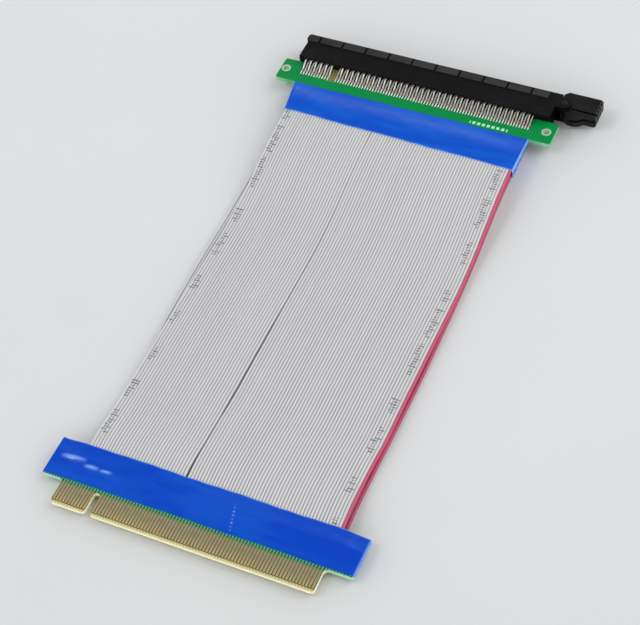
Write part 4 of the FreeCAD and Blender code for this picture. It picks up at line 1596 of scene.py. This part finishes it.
@dataclass(frozen=True)
class SoftLamp:
    """A round soft lamp that shines at the middle of the scene; its place and size are in metres."""

    name: str
    place: Triple
    size: float
    power: float

    def build(self) -> None:
        """Hang the lamp."""
        lamp = bpy.data.lights.new(self.name, "AREA")
        lamp.shape = "DISK"
        lamp.size = self.size
        lamp.energy = self.power
        holder = bpy.data.objects.new(self.name, lamp)
        holder.location = self.place
        holder.rotation_euler = (-Vector(self.place)).to_track_quat("-Z", "Y").to_euler()
        bpy.context.scene.collection.objects.link(holder)


@dataclass(frozen=True)
class Studio:
    """Pale floor, soft light and a camera at the photograph's place."""

    focal_pixels: float = 1810.558
    image_wide: float = 640.0
    sensor_wide: float = 36.0
    azimuth: float = 30.448
    elevation: float = 50.906
    roll: float = -8.185
    target: Triple = (0.242, -8.773, 0.0)
    distance: float = 565.027
    clip_metres: Pair = (0.01, 100.0)
    floor_half: float = 4000.0
    floor_drop: float = 0.1
    floor_rows: int = 9
    lamps: tuple[SoftLamp, ...] = (SoftLamp("back_lamp", (0.5, 0.45, 0.75), size=0.9, power=3.1),
                                   SoftLamp("front_lamp", (-0.9, -0.35, 1.05), size=1.1, power=3.1),
                                   SoftLamp("glint_lamp", (-0.84, -0.33, 0.98), size=0.12, power=1.3))
    wall_light: float = 1.75
    front_gain: float = 1.35
    ceiling_light: float = 0.12
    wall_top: float = 0.3
    ceiling_edge: float = 0.7

    def build(self) -> None:
        """Build the floor, the lights and the camera."""
        bpy.context.scene.view_settings.view_transform = "Standard"
        self.build_floor()
        for lamp in self.lamps:
            lamp.build()
        self.build_sky()
        self.build_camera()

    def build_floor(self) -> None:
        """A level square under the object."""
        side = np.linspace(-self.floor_half, self.floor_half, self.floor_rows)
        x, y = np.meshgrid(side, side)
        points = np.stack([x, y, np.full_like(x, -self.floor_drop)], axis=-1).reshape(-1, 3)
        floor = make_piece("studio_floor", points, grid_quads(*x.shape), StudioPaint(), sharp_angle=60.0)

    def build_sky(self) -> None:
        """Soft light from pale walls all round, brighter in front, which fades into a dim ceiling."""
        world = bpy.data.worlds.new("studio_sky")
        bpy.context.scene.world = world
        world.use_nodes = True
        bench = NodeBench(world.node_tree)
        towards = bench.add("ShaderNodeTexCoord", {}).outputs["Generated"]
        walls = bench.part(towards, "Z").ease(self.wall_top, self.ceiling_edge, self.wall_light,
                                              self.ceiling_light)
        front = bench.part(towards, "Y").apply("MINIMUM", 0.0) * (1.0 - self.front_gain) + 1.0
        sky = bench.tree.nodes["Background"]
        bench.feed(sky.inputs["Color"], (1.0, 1.0, 1.0, 1.0))
        bench.feed(sky.inputs["Strength"], walls * front)

    def build_camera(self) -> None:
        """Camera that looks at the target along the azimuth and elevation, rolled about its own line."""
        turn, tilt, roll = (math.radians(angle) for angle in (self.azimuth, self.elevation, self.roll))
        back = Vector((math.sin(turn) * math.cos(tilt), -math.cos(turn) * math.cos(tilt), math.sin(tilt)))
        level = Vector((math.cos(turn), math.sin(turn), 0.0))
        above = back.cross(level)
        right = level * math.cos(roll) + above * math.sin(roll)
        up = above * math.cos(roll) - level * math.sin(roll)
        lens = bpy.data.cameras.new("photo_camera")
        lens.sensor_fit = "HORIZONTAL"
        lens.sensor_width = self.sensor_wide
        lens.lens = self.sensor_wide * self.focal_pixels / self.image_wide
        lens.clip_start, lens.clip_end = self.clip_metres
        holder = bpy.data.objects.new("photo_camera", lens)
        turned = Matrix((right, up, back)).transposed().to_4x4()
        turned.translation = (Vector(self.target) + back * self.distance) * MM
        holder.matrix_world = turned
        bpy.context.scene.collection.objects.link(holder)
        bpy.context.scene.camera = holder


def main() -> None:
    """Build the studio and every part of the lead, and report each piece."""
    logging.basicConfig(level=logging.INFO, format="%(name)s: %(message)s")
    run = RibbonRun.from_frame()
    plug = PlugEnd(run, Connector(middle=-2.25))
    slot = SlotEnd(run, Connector(middle=-6.1))
    Studio().build()
    for piece in RibbonBundle(run).build() + plug.build() + slot.build():
        LOG.info("built %s: %d faces", piece.name, len(piece.data.polygons))
    plug.dress()
    slot.dress()


if __name__ == "__main__":
    main()
